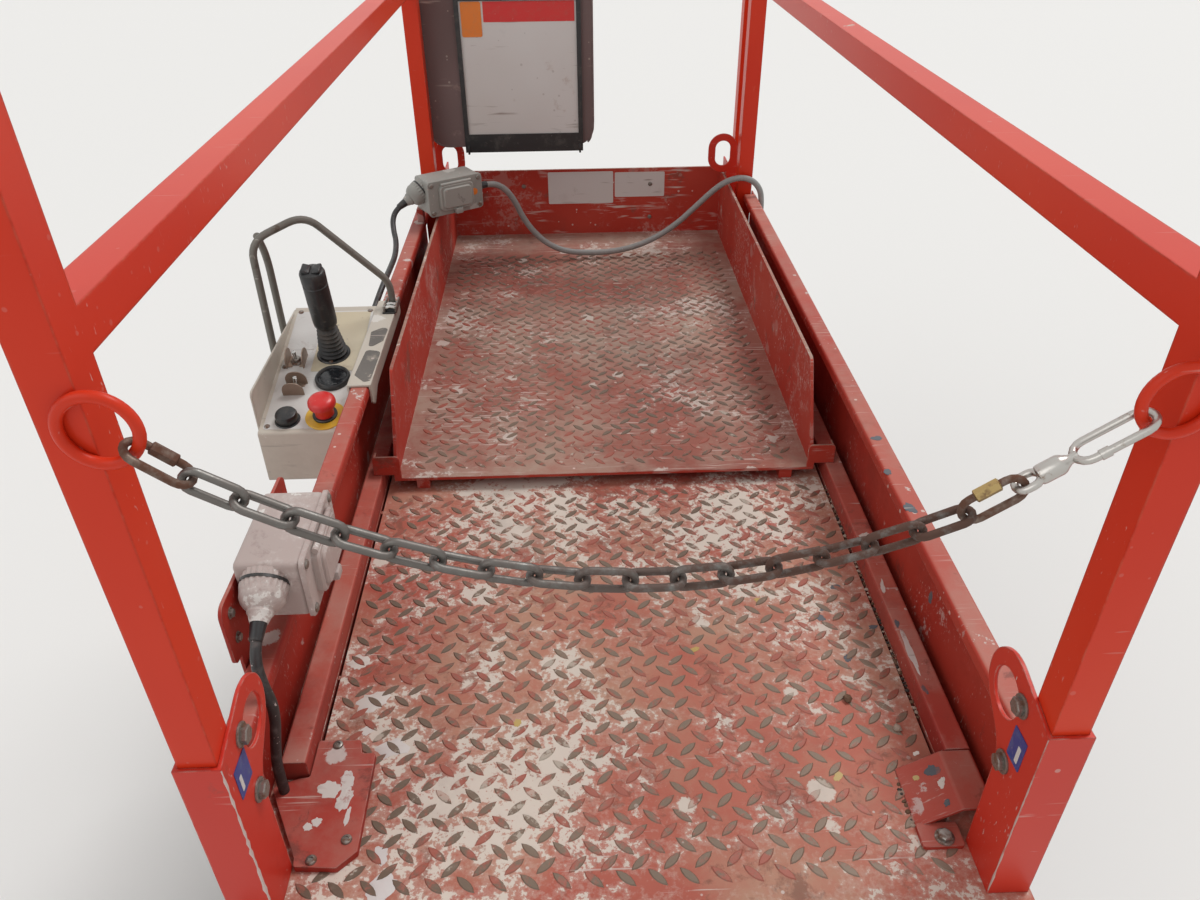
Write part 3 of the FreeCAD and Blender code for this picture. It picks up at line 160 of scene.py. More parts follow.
def makeWearGroup():
    # splashes of old paint, rubbed patches, fine scratches, specks and grime, from the object's own coordinates
    tree, given, out = newGroup("wear", [(n, "NodeSocketFloat", 0.0 if n == "Shift" else 0.3) for n in wearNames],
        [(n, "NodeSocketFloat") for n in ("Splash", "Rubbed", "Scratches", "Specks", "Grime", "Tone", "Height")])
    place = addNode(tree, "ShaderNodeTexCoord").outputs["Object"]
    moved = addNode(tree, "ShaderNodeVectorMath", {0: place, 1: given["Shift"]}, operation="ADD").outputs[0]
    broad = noise(tree, moved, 5.5, 3.0, 0.55)
    ragged = noise(tree, moved, 36.0, 8.0, 0.72, 0.2)
    grain = noise(tree, moved, 150.0, 3.0, 0.65)
    mixed = plus(tree, times(tree, broad, 0.42), times(tree, ragged, 0.38))
    mixed = plus(tree, mixed, times(tree, grain, 0.2))
    level = ramp(tree, given["Splash"], 0.0, 1.0, 0.66, 0.42)
    splash = ramp(tree, mixed, level, plus(tree, level, 0.018))
    drops = addNode(tree, "ShaderNodeTexVoronoi", {"Vector": moved, "Scale": 21.0}).outputs
    size = ramp(tree, addNode(tree, "ShaderNodeSeparateColor", {0: drops["Color"]}).outputs[0], 0.78, 1.0, 0.0, 0.36)
    uneven = times(tree, minus(tree, ragged, 0.5), 0.7)
    drop = ramp(tree, minus(tree, plus(tree, drops["Distance"], uneven), size), 0.02, -0.02)
    drop = times(tree, drop, ramp(tree, given["Splash"], 0.0, 0.12))
    halo = times(tree, ramp(tree, mixed, minus(tree, level, 0.05), level), 0.26)
    splash = highest(tree, splash, times(tree, halo, ramp(tree, given["Splash"], 0.3, 0.5)))
    tree.links.new(highest(tree, splash, drop), out["Splash"])
    rubbed = noise(tree, moved, 17.0, 8.0, 0.72, 0.3)
    level = ramp(tree, given["Rubbed"], 0.0, 1.0, 0.70, 0.36)
    rubbedMask = ramp(tree, rubbed, level, plus(tree, level, 0.07))
    tree.links.new(rubbedMask, out["Rubbed"])
    strokes = []
    for turn, scale in (((0.3, 0.2, 0.5), (9, 260, 90)), ((0.1, 0.5, -1.1), (14, 330, 120))):
        fine = noise(tree, stretched(tree, moved, scale, turn), 1.0, 2.0, 0.5)
        level = ramp(tree, given["Scratches"], 0.0, 1.0, 0.76, 0.57)
        strokes.append(ramp(tree, fine, level, plus(tree, level, 0.1)))
    scratches = highest(tree, *strokes)
    patches = ramp(tree, noise(tree, moved, 9.0, 2.0), 0.45, 0.6)
    scratches = times(tree, scratches, patches)
    tree.links.new(scratches, out["Scratches"])
    spots = addNode(tree, "ShaderNodeTexVoronoi", {"Vector": moved, "Scale": 90.0}).outputs
    size = ramp(tree, addNode(tree, "ShaderNodeSeparateColor", {0: spots["Color"]}).outputs[0], 0.86, 1.0, 0.0, 0.24)
    tree.links.new(ramp(tree, minus(tree, spots["Distance"], size), 0.02, -0.03), out["Specks"])
    dirty = noise(tree, moved, 4.0, 6.0, 0.65)
    level = ramp(tree, given["Grime"], 0.0, 1.0, 0.72, 0.34)
    tree.links.new(ramp(tree, dirty, level, plus(tree, level, 0.22)), out["Grime"])
    tree.links.new(noise(tree, moved, 2.3, 3.0), out["Tone"])
    fine = noise(tree, moved, 240.0, 3.0, 0.6)
    tree.links.new(minus(tree, times(tree, fine, 0.4), rubbedMask), out["Height"])
    return tree


def makeEdgeGroup():
    # a rounded normal near hard edges, and a mask of those edges where paint wears off
    tree, given, out = newGroup("softEdge", [("Radius", "NodeSocketFloat", 0.0015)],
        [("Normal", "NodeSocketVector"), ("Edge", "NodeSocketFloat")])
    soft = addNode(tree, "ShaderNodeBevel", {"Radius": given["Radius"]}, samples=4).outputs[0]
    flat = addNode(tree, "ShaderNodeNewGeometry").outputs["Normal"]
    agree = addNode(tree, "ShaderNodeVectorMath", {0: soft, 1: flat}, operation="DOT_PRODUCT").outputs["Value"]
    place = addNode(tree, "ShaderNodeTexCoord").outputs["Object"]
    broken = times(tree, ramp(tree, agree, 0.97, 0.80), ramp(tree, noise(tree, place, 60.0, 4.0), 0.42, 0.6))
    tree.links.new(soft, out["Normal"])
    tree.links.new(broken, out["Edge"])
    return tree


wearGroup = makeWearGroup()
edgeGroup = makeEdgeGroup()


def newMaterial(name, roughness=0.5, metallic=0.0, **others):
    material = bpy.data.materials.new(name)
    material.use_nodes = True
    tree = material.node_tree
    tree.nodes.clear()
    shader = addNode(tree, "ShaderNodeBsdfPrincipled", {"Roughness": roughness, "Metallic": metallic})
    for key, value in others.items():
        shader.inputs[key.replace("_", " ")].default_value = value
    tree.links.new(shader.outputs[0], addNode(tree, "ShaderNodeOutputMaterial").inputs["Surface"])
    return material, tree, shader


def finishSurface(tree, shader, colour, roughness, height, bump, depth, edge=0.0):
    tree.links.new(colour, shader.inputs["Base Color"])
    tree.links.new(roughness, shader.inputs["Roughness"])
    made = addNode(tree, "ShaderNodeBump", {"Height": height, "Strength": bump, "Distance": depth})
    tree.links.new(made.outputs[0], shader.inputs["Normal"])
    if edge:
        soft = addNode(tree, "ShaderNodeGroup", {"Radius": edge}, node_tree=edgeGroup)
        tree.links.new(soft.outputs["Normal"], made.inputs["Normal"])
        return soft


def addWear(tree, values):
    return addNode(tree, "ShaderNodeGroup", zip(wearNames, values), node_tree=wearGroup).outputs


def makePaint(name, look):
    # one painted finish: its tones are fresh, faded and what shows where it is rubbed; its wear is in
    # wearNames' order
    fresh, faded, under = look["tones"]
    material, tree, shader = newMaterial(name, metallic=look.get("metallic", 0.0), Coat_Weight=look.get("coat", 0.0),
        Coat_Roughness=0.25, Specular_IOR_Level=look.get("shine", 0.3))
    out = addWear(tree, look["wear"])
    tone = ramp(tree, out["Tone"], 0.35, 0.65)
    colour = mixColour(tree, tone, fresh, faded)
    splash = times(tree, out["Splash"], look.get("splashMix", 0.9))
    if "floor" in look:  # faces that look up are walked on: their own colours, dust, and most of the splashes
        floor = look["floor"]
        fresh, faded, dust = floor["tones"]
        normal = addNode(tree, "ShaderNodeNewGeometry").outputs["Normal"]
        upward = ramp(tree, addNode(tree, "ShaderNodeSeparateXYZ", {0: normal}).outputs[2], 0.75, 0.95)
        walked = mixColour(tree, tone, fresh, faded)
        place = addNode(tree, "ShaderNodeTexCoord").outputs["Object"]
        dusty = ramp(tree, noise(tree, place, floor.get("dustScale", 4.5), 7.0, 0.68), 0.42, 0.62, 0.0,
            floor["dustMix"])
        walked = mixColour(tree, dusty, walked, dust)
        colour = mixColour(tree, upward, colour, walked)
        splash = times(tree, splash, ramp(tree, upward, 0.0, 1.0, look.get("splashSides", 0.0), 1.0))
    colour = mixColour(tree, times(tree, out["Rubbed"], look.get("rubbedMix", 0.8)), colour, under)
    colour = mixColour(tree, splash, colour, look.get("splash", (0.6, 0.55, 0.47)))
    marks = highest(tree, out["Scratches"], times(tree, out["Specks"], look.get("specks", 0.0)))
    colour = mixColour(tree, marks, colour, look.get("marks", (0.62, 0.52, 0.47)))
    colour = mixColour(tree, times(tree, out["Grime"], look.get("grimeMix", 0.6)), colour,
        look.get("grime", (0.045, 0.03, 0.025)))
    rough = plus(tree, look.get("roughness", 0.42), times(tree, highest(tree, out["Grime"], out["Splash"]), 0.25),
        clamp=True)
    soft = finishSurface(tree, shader, colour, rough, out["Height"], look.get("bump", 0.15), 0.0006,
        look.get("edge", 0.0))
    if soft and "edgeColour" in look:
        colour = mixColour(tree, times(tree, soft.outputs["Edge"], 0.8), colour, look["edgeColour"])
        tree.links.new(colour, shader.inputs["Base Color"])
    return material


paints = {
    "railRed": {"tones": ((0.62, 0.030, 0.008), (0.68, 0.048, 0.014), (0.66, 0.12, 0.07)),
        "wear": (0, 0.10, 0.25, 0.12, 0), "shine": 0.2, "rubbedMix": 0.45, "grimeMix": 0.25, "coat": 0.08,
        "roughness": 0.36, "specks": 0.12, "bump": 0.05, "edge": 0.003, "edgeColour": (0.68, 0.14, 0.08)},
    "socketRed": {"tones": ((0.54, 0.022, 0.01), (0.60, 0.04, 0.02), (0.20, 0.05, 0.035)),
        "wear": (0, 0.20, 0.4, 0.25, 1.9), "rubbedMix": 0.45, "grimeMix": 0.4, "coat": 0.08, "specks": 0.4,
        "bump": 0.08, "edge": 0.0025, "edgeColour": (0.62, 0.42, 0.36)},
    "oldRed": {"tones": ((0.34, 0.022, 0.013), (0.45, 0.05, 0.03), (0.13, 0.045, 0.035)),
        "wear": (0.26, 0.30, 0.55, 0.42, 3.1), "rubbedMix": 0.6, "splash": (0.62, 0.55, 0.51), "splashSides": 0.5,
        "marks": (0.62, 0.45, 0.40), "grime": (0.06, 0.035, 0.03), "grimeMix": 0.5, "roughness": 0.5, "specks": 1.0,
        "edge": 0.002, "edgeColour": (0.50, 0.34, 0.29),
        "floor": {"tones": ((0.40, 0.05, 0.035), (0.47, 0.13, 0.095), (0.40, 0.25, 0.20)), "dustMix": 0.4,
            "dustScale": 9.0}},
    "deckPaint": {"tones": ((0.30, 0.03, 0.02), (0.38, 0.07, 0.05), (0.18, 0.085, 0.06)),
        "wear": (0.57, 0.42, 0.35, 0.42, 8.2), "rubbedMix": 0.6, "splash": (0.68, 0.62, 0.54), "splashMix": 0.92,
        "splashSides": 0.12, "grimeMix": 0.42, "grime": (0.075, 0.075, 0.08), "roughness": 0.58, "specks": 0.9,
        "bump": 0.35, "edge": 0.001, "edgeColour": (0.40, 0.25, 0.20), "shine": 0.22,
        "floor": {"tones": ((0.38, 0.080, 0.056), (0.47, 0.15, 0.105), (0.47, 0.31, 0.215)), "dustMix": 0.66}},
    "extensionPaint": {"tones": ((0.42, 0.03, 0.017), (0.48, 0.07, 0.045), (0.17, 0.075, 0.055)),
        "wear": (0.42, 0.36, 0.8, 0.42, 5.7), "rubbedMix": 0.6, "splash": (0.60, 0.54, 0.48), "splashMix": 0.8,
        "splashSides": 0.3, "marks": (0.62, 0.50, 0.45), "grime": (0.06, 0.045, 0.04), "grimeMix": 0.5,
        "roughness": 0.58, "specks": 0.9, "bump": 0.3, "edge": 0.002, "edgeColour": (0.55, 0.38, 0.32), "shine": 0.22,
        "floor": {"tones": ((0.27, 0.075, 0.055), (0.37, 0.16, 0.12), (0.40, 0.31, 0.245)), "dustMix": 0.8}},
    "lugWorn": {"tones": ((0.150, 0.105, 0.075), (0.225, 0.165, 0.12), (0.38, 0.105, 0.075)),
        "wear": (0.36, 0.62, 0, 0.25, 8.2), "rubbedMix": 0.85, "splash": (0.58, 0.52, 0.44), "splashMix": 0.62,
        "metallic": 0.1, "specks": 0.4, "bump": 0.3, "shine": 0.35},
    "frameGrey": {"tones": ((0.045, 0.047, 0.05), (0.065, 0.067, 0.07), (0.11, 0.10, 0.095)),
        "wear": (0, 0.22, 0.3, 0.4, 0), "grime": (0.16, 0.13, 0.10), "grimeMix": 0.5, "roughness": 0.45,
        "specks": 0.3, "marks": (0.3, 0.29, 0.28), "edge": 0.003, "edgeColour": (0.2, 0.19, 0.18)},
    "armGrey": {"tones": ((0.055, 0.057, 0.06), (0.075, 0.077, 0.08), (0.12, 0.11, 0.10)),
        "wear": (0, 0.2, 0.35, 0.35, 5.5), "grime": (0.10, 0.085, 0.07), "grimeMix": 0.5, "specks": 0.25,
        "marks": (0.3, 0.29, 0.28), "edge": 0.004, "edgeColour": (0.22, 0.2, 0.19)},
    "ladderRed": {"tones": ((0.42, 0.03, 0.016), (0.48, 0.05, 0.03), (0.25, 0.15, 0.12)),
        "wear": (0, 0.25, 0.5, 0.4, 1.7), "grimeMix": 0.5, "specks": 0.3, "edge": 0.003,
        "edgeColour": (0.3, 0.2, 0.16)},
    "boxCream": {"tones": ((0.60, 0.55, 0.47), (0.52, 0.47, 0.40), (0.40, 0.33, 0.27)),
        "wear": (0.2, 0.25, 0.4, 0.4, 6.4), "rubbedMix": 0.5, "splash": (0.68, 0.65, 0.6),
        "marks": (0.28, 0.24, 0.21), "grime": (0.20, 0.15, 0.11), "grimeMix": 0.45, "specks": 0.2, "edge": 0.003,
        "edgeColour": (0.66, 0.62, 0.56)},
    "panelWhite": {"tones": ((0.66, 0.65, 0.63), (0.60, 0.58, 0.55), (0.45, 0.41, 0.37)),
        "wear": (0, 0.3, 0.5, 0.3, 2.9), "rubbedMix": 0.6, "marks": (0.35, 0.31, 0.28), "grime": (0.25, 0.2, 0.16),
        "grimeMix": 0.4, "roughness": 0.38},
    "outletCream": {"tones": ((0.42, 0.345, 0.32), (0.50, 0.41, 0.375), (0.27, 0.19, 0.175)),
        "wear": (0.50, 0.34, 0.3, 0.35, 4.4), "rubbedMix": 0.5, "splash": (0.70, 0.68, 0.64),
        "marks": (0.25, 0.2, 0.18), "grime": (0.22, 0.17, 0.15), "grimeMix": 0.5, "roughness": 0.5, "specks": 0.5},
    "junctionGrey": {"tones": ((0.23, 0.235, 0.22), (0.34, 0.33, 0.30), (0.15, 0.14, 0.13)),
        "wear": (0.28, 0.25, 0.3, 0.4, 7.7), "splash": (0.55, 0.54, 0.5), "splashMix": 0.7, "grimeMix": 0.45,
        "roughness": 0.5, "specks": 0.6},
    "holderGrey": {"tones": ((0.115, 0.075, 0.072), (0.17, 0.115, 0.11), (0.26, 0.18, 0.165)),
        "wear": (0, 0.3, 0.4, 0.3, 9.1), "marks": (0.4, 0.34, 0.3), "roughness": 0.55, "specks": 0.6, "edge": 0.002,
        "edgeColour": (0.34, 0.28, 0.25)},
    "signWhite": {"tones": ((0.64, 0.62, 0.60), (0.58, 0.54, 0.51), (0.45, 0.36, 0.32)),
        "wear": (0, 0.25, 0.45, 0.25, 11.0), "rubbedMix": 0.5, "marks": (0.3, 0.25, 0.22), "grimeMix": 0.3,
        "roughness": 0.35, "specks": 0.4},
    "panelBeige": {"tones": ((0.56, 0.48, 0.33), (0.60, 0.54, 0.42), (0.38, 0.31, 0.24)),
        "wear": (0, 0.35, 0.4, 0.35, 10.4), "rubbedMix": 0.6, "marks": (0.3, 0.26, 0.22), "grime": (0.2, 0.15, 0.11),
        "grimeMix": 0.5, "specks": 0.5},
    "guardBrown": {"tones": ((0.30, 0.22, 0.17), (0.50, 0.43, 0.33), (0.16, 0.10, 0.07)),
        "wear": (0, 0.4, 0.4, 0.3, 15.0), "roughness": 0.4, "metallic": 0.3},
    "wornPatch": {"tones": ((0.12, 0.11, 0.10), (0.17, 0.155, 0.14), (0.40, 0.35, 0.29)),
        "wear": (0.35, 0.45, 0.4, 0.2, 16.2), "rubbedMix": 0.5, "splash": (0.45, 0.40, 0.34), "roughness": 0.7,
        "specks": 0.6},
    "chippedPaint": {"tones": ((0.62, 0.50, 0.46), (0.50, 0.34, 0.30), (0.45, 0.09, 0.06)),
        "wear": (0, 0.4, 0.4, 0.2, 17.5), "rubbedMix": 0.8, "roughness": 0.55},
    "splashWhite": {"tones": ((0.62, 0.58, 0.56), (0.68, 0.62, 0.54), (0.36, 0.09, 0.07)),
        "wear": (0, 0.34, 0.3, 0.3, 18.6), "rubbedMix": 0.85, "marks": (0.2, 0.12, 0.1), "grimeMix": 0.35,
        "roughness": 0.55, "specks": 0.5},
    "keeperRed": {"tones": ((0.31, 0.03, 0.022), (0.42, 0.085, 0.06), (0.16, 0.06, 0.048)),
        "wear": (0.30, 0.36, 0.4, 0.5, 19.4), "rubbedMix": 0.6, "splash": (0.60, 0.50, 0.45),
        "grime": (0.07, 0.045, 0.04), "grimeMix": 0.55, "roughness": 0.55, "specks": 0.8, "edge": 0.003,
        "edgeColour": (0.58, 0.42, 0.36), "floor": {"tones": ((0.43, 0.06, 0.043), (0.50, 0.14, 0.10),
        (0.47, 0.27, 0.22)), "dustMix": 0.6, "dustScale": 8.0}},
    "chipGrey": {"tones": ((0.085, 0.095, 0.11), (0.14, 0.15, 0.165), (0.36, 0.10, 0.075)),
        "wear": (0.2, 0.4, 0.3, 0.2, 21.3), "rubbedMix": 0.7, "roughness": 0.5, "specks": 0.4},
    "spotYellow": {"tones": ((0.50, 0.36, 0.12), (0.56, 0.45, 0.24), (0.36, 0.12, 0.08)),
        "wear": (0, 0.35, 0.2, 0.2, 22.7), "rubbedMix": 0.7, "roughness": 0.55, "specks": 0.3},
    "barGrey": {"tones": ((0.17, 0.16, 0.14), (0.22, 0.20, 0.175), (0.10, 0.075, 0.055)),
        "wear": (0, 0.35, 0.5, 0.35, 12.3), "marks": (0.4, 0.38, 0.34), "roughness": 0.45, "metallic": 0.35},
    "hubGrey": {"tones": ((0.36, 0.37, 0.37), (0.42, 0.42, 0.41), (0.2, 0.17, 0.14)),
        "wear": (0, 0.25, 0.3, 0.45, 13.0), "grime": (0.09, 0.075, 0.06), "grimeMix": 0.6, "specks": 0.2,
        "edge": 0.002, "edgeColour": (0.5, 0.48, 0.45)},
    "trayBlack": {"tones": ((0.03, 0.031, 0.033), (0.045, 0.046, 0.048), (0.08, 0.075, 0.07)),
        "wear": (0, 0.2, 0.4, 0.4, 14.2), "marks": (0.22, 0.21, 0.2), "grime": (0.13, 0.11, 0.09), "grimeMix": 0.5,
        "roughness": 0.38, "specks": 0.25, "edge": 0.003, "edgeColour": (0.18, 0.17, 0.16)},
}
finishes = {name: makePaint(name, look) for name, look in paints.items()}


def makeSteel(name, look):
    # bare metal: its tones are bright where it rubs, dull, and rust, with a fine grain
    bright, dull, brown = look["tones"]
    material, tree, shader = newMaterial(name)
    out = addWear(tree, (0, 0, 0, look["grime"], 0))
    place = addNode(tree, "ShaderNodeTexCoord").outputs["Object"]
    rust = ramp(tree, noise(tree, place, look["grain"], 6.0, 0.7), 0.62 - 0.3 * look["rust"],
        0.72 - 0.2 * look["rust"])
    if "rustRight" in look:  # the chain is browner towards its right end
        across = addNode(tree, "ShaderNodeSeparateXYZ", {0: place}).outputs[0]
        start, end = look["rustRight"]
        rust = times(tree, rust, ramp(tree, across, start, end, 0.25, 1.0))
    bare = mixColour(tree, out["Tone"], bright, dull)
    colour = mixColour(tree, times(tree, rust, 0.95), bare, brown)
    colour = mixColour(tree, times(tree, out["Grime"], 0.5), colour, (0.06, 0.045, 0.035))
    rough = plus(tree, look["roughness"], times(tree, rust, 0.35), clamp=True)
    metal = ramp(tree, rust, 0.0, 1.0, 0.9, 0.15)
    tree.links.new(metal, shader.inputs["Metallic"])
    height = noise(tree, place, 400.0, 3.0, 0.6)
    finishSurface(tree, shader, colour, rough, height, look.get("bump", 0.2), 0.0004)
    return material


steels = {
    "boltSteel": {"tones": ((0.34, 0.325, 0.30), (0.22, 0.205, 0.185), (0.14, 0.06, 0.03)), "rust": 0.5,
        "grain": 90.0, "roughness": 0.42, "grime": 0.4},
    "brightSteel": {"tones": ((0.62, 0.61, 0.59), (0.48, 0.47, 0.45), (0.2, 0.1, 0.05)), "rust": 0.0, "grain": 60.0,
        "roughness": 0.25, "grime": 0.15},
    "chainSteel": {"tones": ((0.26, 0.255, 0.24), (0.10, 0.095, 0.088), (0.085, 0.036, 0.022)), "rust": 1.0,
        "grain": 60.0, "roughness": 0.4, "rustRight": (-0.06, 0.14), "bump": 0.4, "grime": 0.35},
    "rustyLink": {"tones": ((0.24, 0.19, 0.16), (0.16, 0.11, 0.085), (0.12, 0.05, 0.028)), "rust": 0.9, "grain": 90.0,
        "roughness": 0.5, "bump": 0.35, "grime": 0.3},
    "hookSteel": {"tones": ((0.56, 0.54, 0.51), (0.40, 0.38, 0.35), (0.22, 0.12, 0.06)), "rust": 0.15, "grain": 80.0,
        "roughness": 0.3, "grime": 0.2},
    "brass": {"tones": ((0.50, 0.36, 0.15), (0.38, 0.27, 0.12), (0.16, 0.08, 0.04)), "rust": 0.3, "grain": 70.0,
        "roughness": 0.35, "grime": 0.3},
}
finishes.update({name: makeSteel(name, look) for name, look in steels.items()})


def makeRubber(name, look):
    # dark rubber or plastic with a fine skin, dust and pale scuffs
    material, tree, shader = newMaterial(name, roughness=look["roughness"])
    place = addNode(tree, "ShaderNodeTexCoord").outputs["Object"]
    dust = ramp(tree, noise(tree, place, look["dustScale"], 6.0, 0.7), 0.5, 0.72)
    scuff = ramp(tree, noise(tree, stretched(tree, place, (60, 200, 200), (0.4, 0.3, 0.8)), 1.0, 3.0), 0.66, 0.72)
    flecksAndGlints = ramp(tree, noise(tree, place, look.get("fleckScale", 210.0), 2.0), 0.70, 0.74)
    colour = mixColour(tree, times(tree, dust, look["dustMix"]), look["colour"], look["dust"])
    colour = mixColour(tree, times(tree, scuff, 0.4), colour, look["dust"])
    # pale flecks: on most finishes specks of dust and paint, on the black cable painted glints of light
    colour = mixColour(tree, times(tree, flecksAndGlints, look.get("flecksAndGlints", 0.0)), colour, (0.62, 0.55, 0.52))
    rough = ramp(tree, dust, 0.0, 1.0, look["roughness"], min(0.9, look["roughness"] + 0.3))
    finishSurface(tree, shader, colour, rough, noise(tree, place, 500.0, 2.0), look.get("bump", 0.2), 0.0003)
    return material


rubbers = {
    "tyreRubber": {"colour": (0.022, 0.022, 0.023), "dust": (0.14, 0.12, 0.10), "dustScale": 16.0, "dustMix": 0.75,
        "roughness": 0.62, "bump": 0.3},
    "blackPlastic": {"colour": (0.016, 0.016, 0.017), "dust": (0.12, 0.105, 0.09), "dustScale": 40.0, "dustMix": 0.45,
        "roughness": 0.33, "flecksAndGlints": 0.15},
    # the black cable's strong pale flecks are painted glints of light along it
    "cableBlack": {"colour": (0.025, 0.024, 0.024), "dust": (0.17, 0.14, 0.13), "dustScale": 70.0, "dustMix": 0.6,
        "roughness": 0.45, "flecksAndGlints": 0.85, "fleckScale": 160.0},
    "cableGrey": {"colour": (0.25, 0.25, 0.24), "dust": (0.40, 0.37, 0.34), "dustScale": 50.0, "dustMix": 0.5,
        "roughness": 0.5, "flecksAndGlints": 0.5, "fleckScale": 150.0},
    "stopRed": {"colour": (0.62, 0.02, 0.018), "dust": (0.45, 0.12, 0.09), "dustScale": 60.0, "dustMix": 0.4,
        "roughness": 0.3, "flecksAndGlints": 0.2},
    "ringYellow": {"colour": (0.70, 0.42, 0.03), "dust": (0.40, 0.28, 0.12), "dustScale": 50.0, "dustMix": 0.4,
        "roughness": 0.35},
    "crumbBrown": {"colour": (0.115, 0.062, 0.034), "dust": (0.26, 0.18, 0.12), "dustScale": 90.0, "dustMix": 0.6,
        "roughness": 0.85, "bump": 0.5},
    "crumbDark": {"colour": (0.035, 0.028, 0.024), "dust": (0.16, 0.11, 0.08), "dustScale": 90.0, "dustMix": 0.5,
        "roughness": 0.85, "bump": 0.5},
    "crumbPale": {"colour": (0.36, 0.28, 0.22), "dust": (0.5, 0.44, 0.38), "dustScale": 90.0, "dustMix": 0.6,
        "roughness": 0.85, "bump": 0.5},
    "labelBlue": {"colour": (0.02, 0.05, 0.24), "dust": (0.3, 0.3, 0.33), "dustScale": 90.0, "dustMix": 0.4,
        "roughness": 0.35},
    "labelOrange": {"colour": (0.75, 0.20, 0.02), "dust": (0.5, 0.25, 0.12), "dustScale": 60.0, "dustMix": 0.4,
        "roughness": 0.4},
    "gaugeGlass": {"colour": (0.012, 0.013, 0.015), "dust": (0.2, 0.2, 0.2), "dustScale": 80.0, "dustMix": 0.3,
        "roughness": 0.12},
}
finishes.update({name: makeRubber(name, look) for name, look in rubbers.items()})
print("finishes:", len(finishes))


def paintNodes(names, finish):
    for name in names:
        thing = nodes[name]
        thing.data.materials.clear()
        thing.data.materials.append(finishes[finish])


nodeFinishes = {
    "frameGrey": ["chassis_frame", "chassis_deck", "knuckle_left", "knuckle_right", "tie_rod", "pothole_guard_left",
        "pothole_guard_right"],
    "ladderRed": ["entry_ladder"],
    "trayBlack": ["tray_left", "tray_right"],
    "tyreRubber": ["tyre_%s_%s" % (e, s) for e in ("rear", "front") for s in ("left", "right")],
    "hubGrey": ["hub_%s_%s" % (e, s) for e in ("rear", "front") for s in ("left", "right")],
    "armGrey": ["arms_%s_%d" % (k, n) for k in ("inner", "outer") for n in range(1, 5)] + ["lift_barrel"],
    "brightSteel": ["lift_rod"],
    "railRed": ["rail_left", "rail_right", "extension_rails", "chain_rings"],
    "socketRed": ["near_sockets", "extension_sockets"],
    "oldRed": ["toe_boards", "roller_covers", "outlet_bracket"],
    "keeperRed": ["slide_keepers"],
    "deckPaint": ["platform_deck"],
    "extensionPaint": ["extension_deck"],
    "chainSteel": ["entry_chain", "chain_ends"],
    "boxCream": ["control_box"],
    "outletCream": ["outlet_box"],
    "junctionGrey": ["junction_box"],
    "blackPlastic": ["control_fittings"],
    "barGrey": ["control_guard"],
    "holderGrey": ["document_holder"],
    "signWhite": ["document_sign"],
    "cableBlack": ["cable_outlet", "cable_control"],
    "cableGrey": ["cable_power"],
}
for finishName, names in nodeFinishes.items():
    paintNodes(names, finishName)


# Making pieces: a piece is one bmesh, and each form is added to it in millimetres with a finish of its own
machineFrame = Matrix.Translation(onMachine(0, 0, 0)) @ Matrix.Scale(0.001, 4)
deckFrame = Matrix.Translation(onDeck(0, 0, 0)) @ Matrix.Scale(0.001, 4)


def startPiece(base=deckFrame):
    return {"mesh": bmesh.new(), "finishes": [], "base": base}


def addForm(piece, form, finish, place=Matrix()):
    points, faces = form
    if finish not in piece["finishes"]:
        piece["finishes"].append(finish)
    turn = piece["base"] @ place
    made = [piece["mesh"].verts.new(turn @ Vector(point)) for point in points]
    for face in faces:
        side = piece["mesh"].faces.new([made[index] for index in face])
        side.material_index = piece["finishes"].index(finish)


def smoothMesh(piece, name, sharp=32):
    shape = piece["mesh"]
    bmesh.ops.recalc_face_normals(shape, faces=shape.faces[:])
    mesh = bpy.data.meshes.new(name)
    shape.to_mesh(mesh)
    shape.free()
    mesh.shade_smooth()
    mesh.set_sharp_from_angle(angle=math.radians(sharp))
    return mesh


def endPiece(piece, name, body, replaced=(), sharp=32):
    mesh = smoothMesh(piece, name, sharp)
    for finish in piece["finishes"]:
        mesh.materials.append(finishes[finish])
    return settle(bpy.data.objects.new(name, mesh), body, replaced)


def settle(thing, body, replaced=()):
    bpy.context.collection.objects.link(thing)
    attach(thing, body)
    if replaced:
        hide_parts(*replaced)
    return thing


def standing(point, along=(0, 0, 1)):  # a place whose Z runs along a direction
    turn = Vector((0, 0, 1)).rotation_difference(Vector(along)).to_matrix().to_4x4()
    return Matrix.Translation(Vector(point)) @ turn


def turnedForm(profile, sides, rib=0.0):
    # a round form from (radius, height) points, closed at both ends; rib pulls every other station in
    rings, points, faces = [], [], []
    for radius, height in profile:
        if radius < 1e-6:
            rings.append([len(points)] * sides)
            points.append((0, 0, height))
            continue
        rings.append(list(range(len(points), len(points) + sides)))
        for step in range(sides):
            here = radius * (1 - rib * (step % 2))
            angle = math.tau * step / sides
            points.append((here * math.cos(angle), here * math.sin(angle), height))
    for low, high in zip(rings, rings[1:]):
        for step in range(sides):
            following = (step + 1) % sides
            corners = [low[step], low[following], high[following], high[step]]
            corners = [c for index, c in enumerate(corners) if c not in corners[:index]]
            faces.append(corners)
    for ring in (rings[0], rings[-1]):
        if ring[0] != ring[1]:
            faces.append(ring)
    return points, faces


